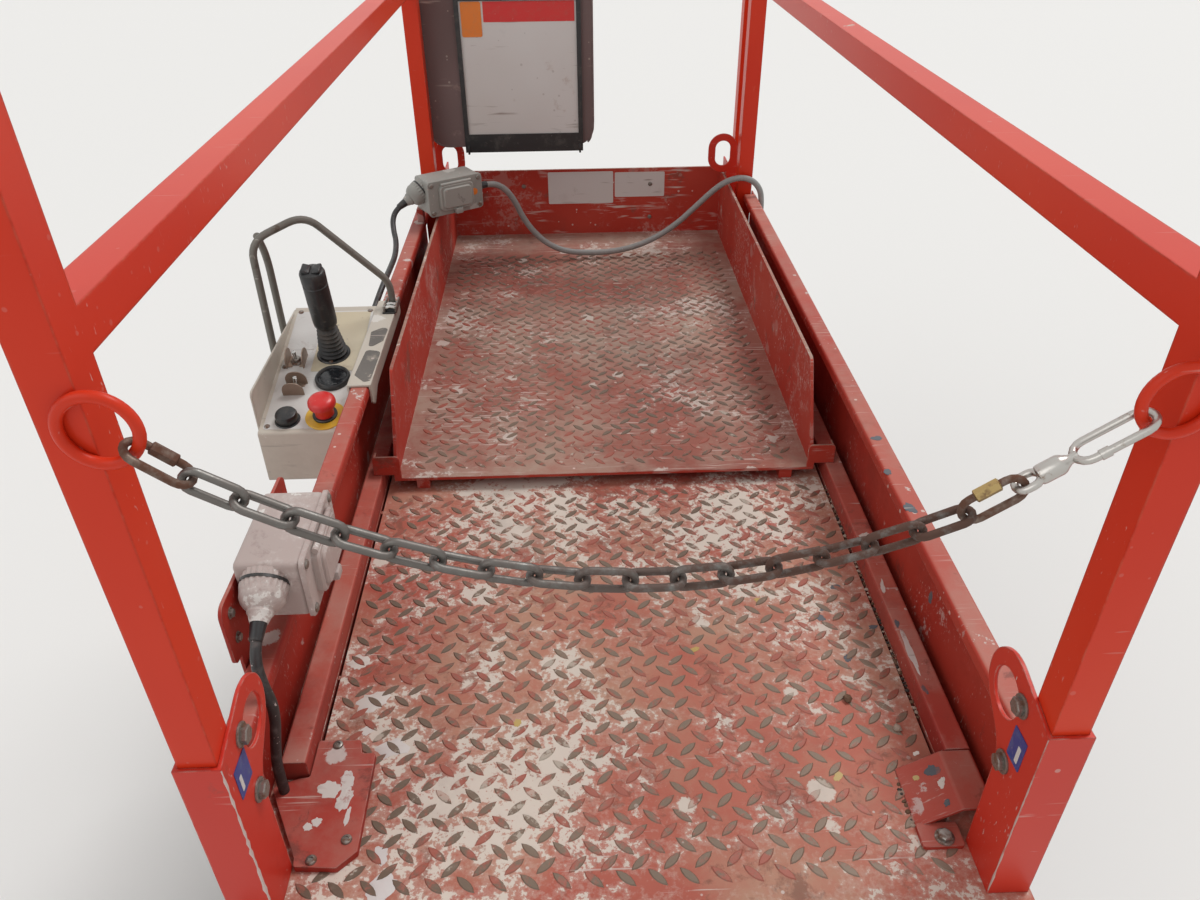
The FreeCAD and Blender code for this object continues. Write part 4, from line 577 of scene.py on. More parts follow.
def sweptForm(path, radius, sides, closed=False):
    # round wire along a path of points, closed in a loop or with its ends covered
    path = [Vector(point) for point in path]
    count, rings, points, faces = len(path), [], [], []
    side = None
    for index, here in enumerate(path):
        back = path[index - 1] if closed or index else here
        ahead = path[(index + 1) % count] if closed or index < count - 1 else here
        along = (ahead - back).normalized()
        side = along.orthogonal() if side is None else side - along * side.dot(along)
        side.normalize()
        other = along.cross(side)
        rings.append(list(range(len(points), len(points) + sides)))
        for step in range(sides):
            angle = math.tau * step / sides
            points.append(here + radius * (math.cos(angle) * side + math.sin(angle) * other))
    pairs = list(zip(rings, rings[1:])) + ([(rings[-1], rings[0])] if closed else [])
    for low, high in pairs:
        shift = 0
        if closed and high is rings[0]:  # the last ring meets the first where they lie nearest
            first = Vector(points[low[0]])
            shift = min(range(sides), key=lambda step: (Vector(points[high[step]]) - first).length)
        for step in range(sides):
            following = step + 1
            faces.append([low[step], low[following % sides], high[(following + shift) % sides],
                high[(step + shift) % sides]])
    if not closed:
        faces += [rings[0], rings[-1]]
    return points, faces


def roundedOutline(corners, steps=5):
    # a flat outline from corners (u, v) or (u, v, radius)
    outline = []
    for index, corner in enumerate(corners):
        here = Vector(corner[:2])
        radius = corner[2] if len(corner) > 2 else 0
        back = (Vector(corners[index - 1][:2]) - here).normalized()
        ahead = (Vector(corners[(index + 1) % len(corners)][:2]) - here).normalized()
        if not radius:
            outline.append(here)
            continue
        half = back.angle(ahead) / 2
        centre = here + (back + ahead).normalized() * radius / math.sin(half)
        first = here + back * radius / math.tan(half) - centre
        last = here + ahead * radius / math.tan(half) - centre
        sweep = first.angle_signed(last)
        for step in range(steps + 1):
            turn = Matrix.Rotation(-sweep * step / steps, 2)
            outline.append(centre + turn @ first)
    return outline


def plateForm(corners, depth, edge=0.0):
    # a flat plate in XY from z 0 to its depth, with its top edge eased
    outline = roundedOutline(corners)
    middle = sum(outline, Vector((0, 0))) / len(outline)
    levels = [(0, 0), (depth - edge, 0)] + ([(depth, edge)] if edge else [])
    points, faces = [], []
    count = len(outline)
    for height, inset in levels:
        for index, here in enumerate(outline):
            tangent = (outline[(index + 1) % count] - outline[index - 1]).normalized()
            inward = Vector((-tangent.y, tangent.x))
            if inward.dot(middle - here) < 0:
                inward = -inward
            point = here + inward * inset
            points.append((point.x, point.y, height))
    for level in range(len(levels) - 1):
        for index in range(count):
            following = (index + 1) % count
            low, high = level * count, (level + 1) * count
            faces.append([low + index, low + following, high + following, high + index])
    faces += [list(range(count)), list(range((len(levels) - 1) * count, len(levels) * count))]
    return points, faces


def slabOutline(u, v, radius):
    return [(u[0], v[0], radius), (u[1], v[0], radius), (u[1], v[1], radius), (u[0], v[1], radius)]


def blockForm(low, high, radius, segments=2):
    # a block between two corners with rounded edges
    shape = bmesh.new()
    bmesh.ops.create_cube(shape, size=1)
    size = [b - a for a, b in zip(low, high)]
    bmesh.ops.scale(shape, vec=size, verts=shape.verts)
    bmesh.ops.translate(shape, vec=[(a + b) / 2 for a, b in zip(low, high)], verts=shape.verts)
    bmesh.ops.bevel(shape, geom=shape.edges[:], offset=min(radius, min(size) * 0.45), segments=segments, profile=0.5,
        affect="EDGES", clamp_overlap=True)
    shape.verts.index_update()
    form = [v.co.copy() for v in shape.verts], [[v.index for v in face.verts] for face in shape.faces]
    shape.free()
    return form


onSideYZ = Matrix(((0, 0, 1, 0), (1, 0, 0, 0), (0, 1, 0, 0), (0, 0, 0, 1)))  # a plate's u, v, depth become y, z, x
onSideXZ = Matrix(((1, 0, 0, 0), (0, 0, -1, 0), (0, 1, 0, 0), (0, 0, 0, 1)))  # they become x, z, and -y


def at(x, y, z):
    return Matrix.Translation((x, y, z))


def facing(side, x, thick=0.0):  # for a plate on a face that looks left or right: it grows from x towards that side
    return at(x - (0 if side > 0 else thick), 0, 0) @ onSideYZ


def turned(piece, finish, profile, sides, place=Matrix(), rib=0.0):
    addForm(piece, turnedForm(profile, sides, rib), finish, place)


def swept(piece, finish, path, radius, sides, place=Matrix(), closed=False):
    addForm(piece, sweptForm(path, radius, sides, closed), finish, place)


def slab(piece, finish, u, v, radius, depth, place, edge=0.0):
    addForm(piece, plateForm(slabOutline(u, v, radius), depth, edge), finish, place)


def block(piece, finish, low, high, radius, place=Matrix(), segments=2):
    addForm(piece, blockForm(low, high, radius, segments), finish, place)


# Geometry Nodes: copies of a small shape at points, each with its own turn and size
def newGeometryTree(name, sockets):
    tree = bpy.data.node_groups.new(name, "GeometryNodeTree")
    tree.interface.new_socket("Geometry", in_out="INPUT", socket_type="NodeSocketGeometry")
    for label, kind, value in sockets:
        socket = tree.interface.new_socket(label, in_out="INPUT", socket_type=kind)
        if value is not None:
            socket.default_value = value
    tree.interface.new_socket("Geometry", in_out="OUTPUT", socket_type="NodeSocketGeometry")
    return tree, tree.nodes.new("NodeGroupInput").outputs, tree.nodes.new("NodeGroupOutput").inputs


def realised(tree, placed, given, out):  # the copies made real and painted
    real = addNode(tree, "GeometryNodeRealizeInstances", {"Geometry": placed.outputs[0]}).outputs[0]
    painted = addNode(tree, "GeometryNodeSetMaterial", {"Geometry": real, "Material": given["Finish"]}).outputs[0]
    tree.links.new(painted, out["Geometry"])
    return tree


def makeCopiesTree():
    tree, given, out = newGeometryTree("copiesAtPoints", [("Shape", "NodeSocketObject", None),
        ("Finish", "NodeSocketMaterial", None), ("Scale", "NodeSocketFloat", 1.0)])
    shape = addNode(tree, "GeometryNodeObjectInfo", {"Object": given["Shape"]}).outputs["Geometry"]
    turn = addNode(tree, "GeometryNodeInputNamedAttribute", {"Name": "turn"}, data_type="FLOAT_VECTOR").outputs[0]
    size = addNode(tree, "GeometryNodeInputNamedAttribute", {"Name": "size"}, data_type="FLOAT").outputs[0]
    size = times(tree, size, given["Scale"])
    placed = addNode(tree, "GeometryNodeInstanceOnPoints", {"Points": given["Geometry"], "Instance": shape,
        "Rotation": addNode(tree, "FunctionNodeEulerToRotation", {0: turn}).outputs[0], "Scale": size})
    return realised(tree, placed, given, out)


def makeFieldTree():
    # rows of copies on a flat field: neighbouring rows lie half a step apart and lean the other way
    tree, given, out = newGeometryTree("leaningRows", [("Shape", "NodeSocketObject", None),
        ("Finish", "NodeSocketMaterial", None), ("Across", "NodeSocketInt", 20), ("Rows", "NodeSocketInt", 90),
        ("Step", "NodeSocketFloat", 0.031), ("Row Step", "NodeSocketFloat", 0.0165),
        ("Lean", "NodeSocketFloat", 0.75), ("Seed", "NodeSocketInt", 4)])
    across = times(tree, minus(tree, given["Across"], 1.0), given["Step"])
    along = times(tree, minus(tree, given["Rows"], 1.0), given["Row Step"])
    grid = addNode(tree, "GeometryNodeMeshGrid", {"Size X": across, "Size Y": along, "Vertices X": given["Across"],
        "Vertices Y": given["Rows"]}).outputs["Mesh"]
    index = addNode(tree, "GeometryNodeInputIndex").outputs[0]
    odd = maths(tree, "MODULO", maths(tree, "FLOORED_MODULO", index, given["Rows"]), 2.0)
    shift = times(tree, minus(tree, odd, 0.5), times(tree, given["Step"], 0.5))
    offset = addNode(tree, "ShaderNodeCombineXYZ", {0: shift}).outputs[0]
    moved = addNode(tree, "GeometryNodeSetPosition", {"Geometry": grid, "Offset": offset}).outputs[0]
    loose = addNode(tree, "FunctionNodeRandomValue", {2: -0.05, 3: 0.05, "Seed": given["Seed"]}, data_type="FLOAT")
    lean = times(tree, minus(tree, times(tree, odd, 2.0), 1.0), given["Lean"])
    turn = addNode(tree, "ShaderNodeCombineXYZ", {2: plus(tree, lean, loose.outputs[1])}).outputs[0]
    rotation = addNode(tree, "FunctionNodeEulerToRotation", {0: turn}).outputs[0]
    shape = addNode(tree, "GeometryNodeObjectInfo", {"Object": given["Shape"]}).outputs["Geometry"]
    placed = addNode(tree, "GeometryNodeInstanceOnPoints", {"Points": moved, "Instance": shape, "Rotation": rotation})
    return realised(tree, placed, given, out)


copiesTree = makeCopiesTree()
fieldTree = makeFieldTree()


def looseObject(name, mesh):
    made = bpy.data.objects.new(name, mesh)
    bpy.context.collection.objects.link(made)
    return made


def smallShape(name, *forms):
    # a shape in metres about the origin, made only to be copied, from forms in millimetres
    piece = startPiece(Matrix.Scale(0.001, 4))
    for form in forms:
        addForm(piece, form, "boltSteel")
    return looseObject(name, smoothMesh(piece, name))


def runTree(tree, host, values):
    # sets the modifier's inputs by identifier, reads the result, and takes the modifier off again
    modifier = host.modifiers.new("copies", "NODES")
    modifier.node_group = tree
    for item in tree.interface.items_tree:
        if item.in_out == "INPUT" and item.name in values:
            modifier[item.identifier] = values[item.name]
    evaluated = host.evaluated_get(bpy.context.evaluated_depsgraph_get())
    mesh = bpy.data.meshes.new_from_object(evaluated)
    host.modifiers.remove(modifier)
    return mesh


def copiesOf(name, shape, spots, finish, body, replaced=(), sharp=32):
    # spots are (place in metres, euler turn, size)
    mesh = bpy.data.meshes.new(name + "Spots")
    mesh.from_pydata([spot[0] for spot in spots], [], [])
    mesh.attributes.new("turn", "FLOAT_VECTOR", "POINT")
    mesh.attributes.new("size", "FLOAT", "POINT")
    for index, (place, turn, size) in enumerate(spots):
        mesh.attributes["turn"].data[index].vector = turn
        mesh.attributes["size"].data[index].value = size
    host = looseObject(name + "Host", mesh)
    made = runTree(copiesTree, host, {"Shape": shape, "Finish": finishes[finish]})
    bpy.data.objects.remove(host)
    made.set_sharp_from_angle(angle=math.radians(sharp))
    return settle(bpy.data.objects.new(name, made), body, replaced)


def aimed(along, roll=0.0):  # the euler turn that lays a shape's Z along a direction
    turn = Vector((0, 0, 1)).rotation_difference(Vector(along).normalized())
    return (turn @ Quaternion((0, 0, 1), math.radians(roll))).to_euler()


# Cables: the same routes as the solids', in platform millimetres, drawn as one smooth spline each
cableRoutes = {
    "cableOutlet": {"node": "cable_outlet", "finish": "cableBlack", "slot": "cable_black", "diameter": 0.011,
        "length": 0.224, "farEnd": "object", "points": [(-352, 169.1, 215.4), (-352, 151.0, 206.95),
        (-351.5, 138.4, 190.2), (-348.5, 134.4, 166.6), (-345.5, 135, 143), (-348, 136, 116), (-354, 136, 86),
        (-359, 135, 56), (-360, 134, 32), (-360, 134, 8)]},
    "cableControl": {"node": "cable_control", "finish": "cableBlack", "slot": "cable_black", "diameter": 0.011,
        "length": 0.382, "farEnd": "object", "points": [(-381.6, 1397.2, 205.4), (-398.5, 1386.7, 196.1),
        (-406.9, 1369.8, 181.2), (-404, 1347.4, 164.7), (-395, 1315, 152), (-391, 1262, 143), (-391.5, 1200, 144),
        (-391, 1142, 147), (-397, 1105, 136), (-405, 1078, 118), (-405, 1050, 118)]},
    "cablePower": {"node": "cable_power", "finish": "cableGrey", "slot": "cable_grey", "diameter": 0.013,
        "length": 0.850, "farEnd": "fitting", "points": [(-232.1, 1482.4, 210), (-206.7, 1498.3, 210),
        (-182, 1513, 192), (-163, 1521, 161), (-149, 1524, 125), (-128, 1525.5, 91), (-98, 1524, 61),
        (-58, 1523, 41.5), (-8, 1523.5, 36), (45, 1526, 35.8), (98, 1531, 43), (150, 1538, 61), (200, 1546, 91),
        (243, 1552, 129), (282, 1554, 166), (313, 1552, 188), (344.5, 1550, 194.5), (369, 1548, 186.5),
        (385.5, 1547, 167.5), (390.5, 1546, 143), (390.5, 1545, 112), (390, 1544, 84)]},
}
saddleLook = {"x": 390, "y": 1544, "low": 74, "long": 22, "radius": 9.4, "face": 380.2, "thick": 2.2, "screws": 15}


def makeSaddle(look):
    # the fitting that holds the power cable's end against the toe board's outer face
    piece = startPiece()
    x, y, low, long, radius = (look[key] for key in ("x", "y", "low", "long", "radius"))
    turned(piece, "blackPlastic", [(6.7, 0), (radius, 2), (radius, long - 5), (7.2, long)], 24, standing((x, y, low)))
    slab(piece, "boltSteel", (y - 22, y + 22), (low + 2, low + 18), 7, look["thick"], facing(1, look["face"]), 0.5)
    for aside in (-look["screws"], look["screws"]):
        turned(piece, "boltSteel", [(4.6, 0), (4.6, 2.2), (3.4, 3.2), (0, 3.2)], 12,
            standing((look["face"] + look["thick"], y + aside, low + 10), (1, 0, 0)))
    return endPiece(piece, "power_cable_saddle", "platform")


def makeCables():
    saddle = makeSaddle(saddleLook)
    for name, look in cableRoutes.items():
        curve = bpy.data.curves.new(name, "CURVE")
        curve.dimensions = "3D"
        curve.bevel_depth = look["diameter"] / 2
        curve.bevel_resolution, curve.resolution_u = 5, 10
        curve.use_fill_caps = True
        spline = curve.splines.new("NURBS")
        spline.points.add(len(look["points"]) - 1)
        for point, place in zip(spline.points, look["points"]):
            point.co = (*onDeck(*place), 1)
        spline.order_u = 3
        spline.use_endpoint_u = True
        curve.materials.append(finishes[look["finish"]])
        cable = settle(bpy.data.objects.new(name, curve), "platform", [look["node"]])
        onDeck(*look["points"][0])


makeCables()
print("cables:", len(cableRoutes))


# The chequered tread: leaning lugs with flat tops, rows half a step apart
treadLook = {"length": 26.5, "width": 9.0, "height": 1.1, "topShare": 0.74, "step": 31.0, "rowStep": 16.4, "lean": 43}
treadFields = {
    "deck_tread": {"body": "platform", "x": (-331, 331), "y": (8, 668), "z": 0, "slot": "deck_plate"},
    "extension_tread": {"body": "extension", "x": (-300, 300), "y": (684, 1560), "z": 22, "slot": "deck_plate"},
}


def makeTread(look, fields):
    half, wide = look["length"] / 2, look["width"] / 2
    upper = [(1, 0), (0.62, 0.66), (0.22, 0.97), (-0.22, 0.97), (-0.62, 0.66)]
    lens = [(half * u, wide * v) for u, v in upper + [(-u, -v) for u, v in upper]]
    share, count = look["topShare"], len(lens)
    points = [(u, v, -0.15) for u, v in lens] + [(u * (share + 0.1), v * share, look["height"]) for u, v in lens]
    faces = [[i, (i + 1) % count, count + (i + 1) % count, count + i] for i in range(count)]
    faces += [list(range(count, 2 * count)), list(range(count))[::-1]]
    lug = smallShape("treadLug", (points, faces))
    for name, field in fields.items():
        wideSpan, longSpan = (field[key][1] - field[key][0] for key in ("x", "y"))
        across = int((wideSpan - look["length"] - look["step"] / 2) / look["step"]) + 1
        rows = int((longSpan - look["length"]) / look["rowStep"]) + 1
        host = looseObject("treadHost", bpy.data.meshes.new("treadHost"))
        mesh = runTree(fieldTree, host, {"Shape": lug, "Finish": finishes["lugWorn"], "Across": across, "Rows": rows,
            "Step": look["step"] / 1000, "Row Step": look["rowStep"] / 1000, "Lean": math.radians(look["lean"]),
            "Seed": 4})
        bpy.data.objects.remove(host)
        middle = onDeck(sum(field["x"]) / 2, sum(field["y"]) / 2, field["z"])
        mesh.transform(Matrix.Translation(middle))
        settle(bpy.data.objects.new(name, mesh), field["body"])
    bpy.data.objects.remove(lug)


makeTread(treadLook, treadFields)
print("tread fields:", len(treadFields))


# Entry chain, its end links, its snap hook and the rings
chainLook = {"pitch": 33.1, "wire": 5.8, "count": 16, "bend": 7.7, "lowZ": 411.5, "lowX": 5.4, "curve": 0.001128,
    "startX": -284.5, "twist": 5, "play": 1.0, "planeY": -3.46, "ringX": 331, "ringZ": 545, "ringRadius": 24,
    "ringWire": 4, "linkWire": 5.5, "linkBend": 9.5, "linkLength": 44.4}


def ovalPath(start, length, bend, steps=8):
    # the middle line of an oval link that lies along X
    points = []
    for middle, side in ((start + length - bend, 1), (start + bend, -1)):
        for step in range(steps + 1):
            angle = -math.pi / 2 + math.pi * step / steps
            points.append((middle + side * bend * math.cos(angle), side * bend * math.sin(angle), 0))
    return points


def chainHeight(look, x):
    return look["lowZ"] + look["curve"] * (x - look["lowX"]) ** 2


def chainSlope(look, x):
    return 2 * look["curve"] * (x - look["lowX"])


def chainStep(look, x, length):
    middle = x + length / 2 / math.hypot(1, chainSlope(look, x))
    return x + length / math.hypot(1, chainSlope(look, middle))


def strung(along, roll):
    turn = Vector((1, 0, 0)).rotation_difference(Vector(along).normalized())
    return turn @ Quaternion((1, 0, 0), math.radians(roll))


def makeChain(look):
    length = look["pitch"] + look["wire"] + look["play"]
    gap = (look["linkWire"] + look["wire"]) / 2 + look["play"]
    link = smallShape("chainLink", sweptForm(ovalPath(-length / 2, length, look["bend"]), look["wire"] / 2, 10, True))
    x, spots = chainStep(look, look["startX"], length / 2 - gap), []
    for index in range(look["count"]):
        roll = 90 + 90 * (index % 2) + look["twist"] * math.sin(2.3 * index)
        spots.append((onDeck(x, look["planeY"], chainHeight(look, x)), strung((1, 0, chainSlope(look, x)),
            roll).to_euler(), 1.0))
        x = chainStep(look, x, look["pitch"])
    copiesOf("hanging_chain", link, spots, "chainSteel", "platform", ["entry_chain"], 60)
    bpy.data.objects.remove(link)
    endX = chainStep(look, x, length / 2 - look["pitch"] - gap)
    return Vector((endX, look["planeY"], chainHeight(look, endX)))


def makeChainEnds(look, end):
    piece = startPiece()
    reach = look["ringRadius"] - look["ringWire"] - look["linkWire"] / 2 - 1.2
    wire, bend = look["linkWire"] / 2, look["linkBend"]
    start = Vector((look["startX"], look["planeY"], chainHeight(look, look["startX"])))

    def quickLink(place, length, finish, sleeve):
        swept(piece, finish, ovalPath(0, length, bend), wire, 12, place, True)
        middle = place @ at(length / 2 - 9, bend, 0) @ standing((0, 0, 0), (1, 0, 0))
        turned(piece, sleeve, [(3.4, 0), (wire + 1.9, 0.8), (wire + 1.9, 17.2), (3.4, 18)], 6, middle)

    toward = Vector((-look["ringX"], look["planeY"], look["ringZ"])) - start
    quickLink(Matrix.Translation(start) @ strung(toward, 0).to_matrix().to_4x4(), toward.length - reach, "rustyLink",
        "rustyLink")
    toward = Vector((look["ringX"], look["planeY"], look["ringZ"])) - end
    along = toward.normalized()
    quickLink(Matrix.Translation(end) @ strung(toward, 90).to_matrix().to_4x4(), look["linkLength"], "rustyLink",
        "brass")
    hookStart = look["linkLength"] - look["linkWire"] - look["play"]
    length = toward.length - reach - hookStart
    place = Matrix.Translation(end + along * hookStart) @ strung(toward, 0).to_matrix().to_4x4()
    swept(piece, "hookSteel", ovalPath(0, 17, 6.5), wire, 12, place, True)
    barrel = [(4.5, 0), (6.6, 1), (7, 3), (7, 15), (6.4, 17), (5, 19), (3.4, 22), (3.4, 27)]
    turned(piece, "hookSteel", barrel, 24, place @ standing((15, 0, 0), (1, 0, 0)))
    swept(piece, "hookSteel", ovalPath(40, length - 40, bend), wire, 12, place, True)
    turned(piece, "hookSteel", [(0, 0), (3.6, 0.6), (3.6, 7), (0, 7.6)], 14,
        place @ standing((52, -bend, 0), (1, 0, 0)))
    endPiece(piece, "chain_hardware", "platform", ["chain_ends"], 40)


def makeRings(look):
    piece = startPiece()
    for side in (-1, 1):
        path = [(look["ringRadius"] * math.cos(math.tau * i / 40), 0, look["ringRadius"]
            * math.sin(math.tau * i / 40)) for i in range(40)]
        swept(piece, "railRed", path, look["ringWire"], 12, at(side * look["ringX"], look["planeY"], look["ringZ"]),
            True)
    endPiece(piece, "post_rings", "platform", ["chain_rings"], 60)


chainEnd = makeChain(chainLook)
makeChainEnds(chainLook, chainEnd)
makeRings(chainLook)
print("chain: links", chainLook["count"])


# Tyres with moulded tread blocks
tyreLook = {"radius": 161.5, "inner": 104.4, "width": 100, "blocks": 30, "rise": 5.5, "innerX": 305,
    "rows": (73, 27), "skew": 14, "blockShare": 0.62, "blockHalf": 21}
wheels = {"rear_left": (-1, -660), "rear_right": (1, -660), "front_left": (-1, 660), "front_right": (1, 660)}


def makeTyres(look):
    r, w = look["radius"] - look["rise"], look["width"]
    nearHalf = [(look["inner"], 0.5), (118, 0.5), (121, 2.5), (128, 2.5), (131, 0.5), (r - 13, 0.5), (r - 7, 2.5),
        (r - 2, 7), (r, 14), (r, w / 2 - 4), (r - 4, w / 2 - 2.5)]
    profile = nearHalf + [(radius, w - height) for radius, height in nearHalf[::-1]] + [nearHalf[0]]
    points, faces = turnedForm(profile, 72)
    faces = [face for face in faces if len(face) == 4]
    halfLong, halfWide = math.pi * r / look["blocks"] * look["blockShare"], look["blockHalf"]
    block = smallShape("treadBlock", blockForm((-halfLong, -halfWide, -3), (halfLong, halfWide, look["rise"] - 0.6), 1.6, 1))
    for wheel, (side, axleY) in wheels.items():
        piece = startPiece(machineFrame)
        place = standing((side * look["innerX"], axleY, look["radius"]), (side, 0, 0))
        addForm(piece, (points, faces), "tyreRubber", place)
        bmesh.ops.remove_doubles(piece["mesh"], verts=piece["mesh"].verts[:], dist=0.00001)
        endPiece(piece, "tyre_body_" + wheel, "wheel_" + wheel, ["tyre_" + wheel], 40)
        spots = []
        for index in range(look["blocks"] * 2):
            row = index % 2
            angle = math.tau * (index / 2) / look["blocks"]
            outward = Vector((0, math.cos(angle), math.sin(angle)))
            centre = Vector((side * (look["innerX"] + look["rows"][row]), axleY, look["radius"])) + outward * r
            ahead = Vector((0, -math.sin(angle), math.cos(angle)))
            skew = math.radians(look["skew"] if row else -look["skew"]) * side
            across = Vector((1, 0, 0)) * math.cos(skew) + ahead * math.sin(skew)
            ahead = outward.cross(across) * -1
            turn = Matrix((ahead, across, ahead.cross(across))).transposed()
            spots.append((onMachine(*centre), turn.to_euler(), 1.0))
        copiesOf("tyre_tread_" + wheel, block, spots, "tyreRubber", "wheel_" + wheel)
    bpy.data.objects.remove(block)


makeTyres(tyreLook)
print("tyres:", len(wheels))


# Control box: sloping panel, controls and guard bar
panelLook = {"outerX": -530, "rearY": 720, "lowZ": 80, "rise": 67, "long": 310}
panelSlope = math.atan2(panelLook["rise"], panelLook["long"])
panelTurn = Matrix.Rotation(panelSlope, 4, "X")


def onPanel(inset, station):
    # a place on the sloping panel: how far in from its outer side, and how far along
    y, z = panelLook["rearY"] + station, panelLook["lowZ"] + station * math.tan(panelSlope)
    return at(panelLook["outerX"] + inset, y, z) @ panelTurn


controlsLook = {
    "joystick": {"at": (87, 180), "base": 23.5, "grip": 19.5, "top": 172},
    "stop": {"at": (98, 34), "ring": 31, "head": 21.5},
    "knob": {"at": (41, 27), "radius": 17},
    "gauge": {"at": (96, 117), "radius": 28},
    "toggles": [{"at": (30, 162), "turn": 0}, {"at": (40, 96), "turn": 90}],
    "toggleGuard": {"radius": 17, "aside": 13.5, "thick": 1.8},
}


def toggleSwitch(piece, place, look):
    turned(piece, "boltSteel", [(11, 0), (11, 3), (9.5, 4), (8, 4.4)], 6, place)
    turned(piece, "boltSteel", [(6.4, 4), (6.4, 9), (5.2, 10), (0, 10)], 20, place)
    lever = place @ Matrix.Rotation(math.radians(9), 4, "X")
    turned(piece, "brightSteel", [(2.6, 8), (2.3, 14), (3.4, 24), (3.2, 26.2), (0, 27)], 16, lever)
    wide, thick = look["radius"], look["thick"]
    for side in (-1, 1):
        outline = [(-wide, 0.3), (wide, 0.3), (wide, wide * 1.5, wide * 0.9), (-wide, wide * 1.5, wide * 0.9)]
        stand = facing(1, side * look["aside"] - thick / 2)
        addForm(piece, plateForm(outline, thick), "guardBrown", place @ stand)
        block(piece, "guardBrown", (min(0, side * 8), -wide * 0.8, 0.3), (max(0, side * 8), wide * 0.8, 2.0), 0.5,
            place @ at(side * (look["aside"] - 8), 0, 0))


def makeJoystick(piece, look):
    place = onPanel(*look["at"])
    base, grip, top = look["base"], look["grip"], look["top"]
    turned(piece, "blackPlastic", [(base + 4, 0.2), (base + 4, 2.6), (base + 2.6, 4), (base - 2, 4.2)], 40, place)
    bellows, folds = [], 7
    for fold in range(folds):
        wide = base - fold * 1.05
        bellows += [(wide - 3.6, 4.2 + fold * 7.4), (wide - 0.6, 6.6 + fold * 7.4), (wide, 8.2 + fold * 7.4)]
    turned(piece, "tyreRubber", bellows + [(12.5, 57), (12, 62)], 40, place)
    profile = [(12.4, 58), (grip - 4, 61), (grip - 1.2, 65), (grip - 0.4, 72), (grip, 96), (grip, top - 30),
        (grip - 1.1, top - 29), (grip - 1.1, top - 27), (grip + 0.2, top - 26), (grip + 0.4, top - 9),
        (grip - 1.2, top - 5), (grip - 5, top - 3.4), (0, top - 3)]
    turned(piece, "blackPlastic", profile, 44, place)
    for side in (-1, 1):  # the rocker on top: two raised ends with a dip between them
        rocker = blockForm((-7, -11, -2.5), (7, 11, 3.2), 2.2, 3)
        lean = Matrix.Rotation(math.radians(side * 15), 4, "Y")
        addForm(piece, rocker, "blackPlastic", place @ at(side * 8.4, 0, top - 2.4) @ lean.inverted())
    turned(piece, "boltSteel", [(3.2, 0), (3.2, 1.4), (0, 1.8)], 14, place @ at(0, -base - 1, 4))


def makeControls(look):
    piece = startPiece()
    makeJoystick(piece, look["joystick"])
    place, head = onPanel(*look["stop"]["at"]), look["stop"]["head"]
    ring = look["stop"]["ring"]
    turned(piece, "ringYellow", [(ring, 0.2), (ring, 1.8), (ring - 1.2, 2.6), (14, 2.8)], 44, place)
    turned(piece, "blackPlastic", [(19, 2.6), (19, 5.4), (17.6, 6.4), (14, 6.6)], 36, place)
    turned(piece, "stopRed", [(14.6, 6), (14.2, 18), (15, 21.6), (head * 0.82, 23), (head * 0.97, 25.6), (head, 29),
        (head * 0.97, 33), (head * 0.84, 36.4), (head * 0.6, 38.6), (0, 39.6)], 40, place)
    place, wide = onPanel(*look["knob"]["at"]), look["knob"]["radius"]
    washer = [(wide + 2.6, 0.2), (wide + 2.6, 1.6), (wide + 1.4, 2.6), (wide - 2, 2.8)]
    turned(piece, "blackPlastic", washer, 40, place)
    grip = [(wide - 1, 2.4), (wide, 4), (wide, 13), (wide - 1.6, 16), (wide - 4, 17), (0, 17.4)]
    turned(piece, "blackPlastic", grip, 44, place)
    place, wide = onPanel(*look["gauge"]["at"]), look["gauge"]["radius"]
    bezel = [(wide, 0.2), (wide, 6.4), (wide - 1.6, 8.4), (wide - 4, 8.6), (wide - 5.6, 6.6), (wide - 5.8, 4.4)]
    turned(piece, "blackPlastic", bezel, 56, place)
    turned(piece, "gaugeGlass", [(wide - 5.6, 4.2), (wide - 5.6, 5.2), (wide - 12, 6.1), (0, 6.6)], 44, place)
    turned(piece, "gaugeGlass", [(wide - 5.6, 4.2), (wide - 5.6, 4.7), (0, 4.8)], 44, place)
    for spot in look["toggles"]:
        toggleSwitch(piece, onPanel(*spot["at"]) @ Matrix.Rotation(math.radians(spot["turn"]), 4, "Z"),
            look["toggleGuard"])
    endPiece(piece, "panel_controls", "platform", ["control_fittings"])


sheetLook = {"sheet": ((6, 138), (8, 300)), "thick": 0.9, "screwInsets": (12, 132), "screwStations": (14, 292, 150),
    "labels": [("panelBeige", (56, 134), (140, 296)), ("panelWhite", (12, 52), (196, 288))], "sideFace": -533.55,
    "sideLabel": ((772, 960), (20, 96))}


def makePanelSheet(look):
    # the worn white sheet on the sloping panel, its screws, two blank labels on it and one on the box's outer side
    piece = startPiece()
    slab(piece, "panelWhite", *look["sheet"], 5, look["thick"], onPanel(0, 0), 0.3)
    for station in look["screwStations"]:
        for inset in look["screwInsets"]:
            turned(piece, "boltSteel", [(4.6, 0.6), (4.6, 1.6), (3.4, 2.8), (0, 3.1)], 16, onPanel(inset, station))
    for finish, across, along in look["labels"]:
        slab(piece, finish, across, along, 3, 0.5, at(0, 0, look["thick"]) @ onPanel(0, 0))
    slab(piece, "panelWhite", *look["sideLabel"], 6, 0.5, facing(1, look["sideFace"]))
    endPiece(piece, "panel_sheet", "platform")


guardBarLook = {"outer": -539, "near": 897, "far": 966, "foot": (-356, 1006), "wire": 6, "bend": 30, "face": -536}


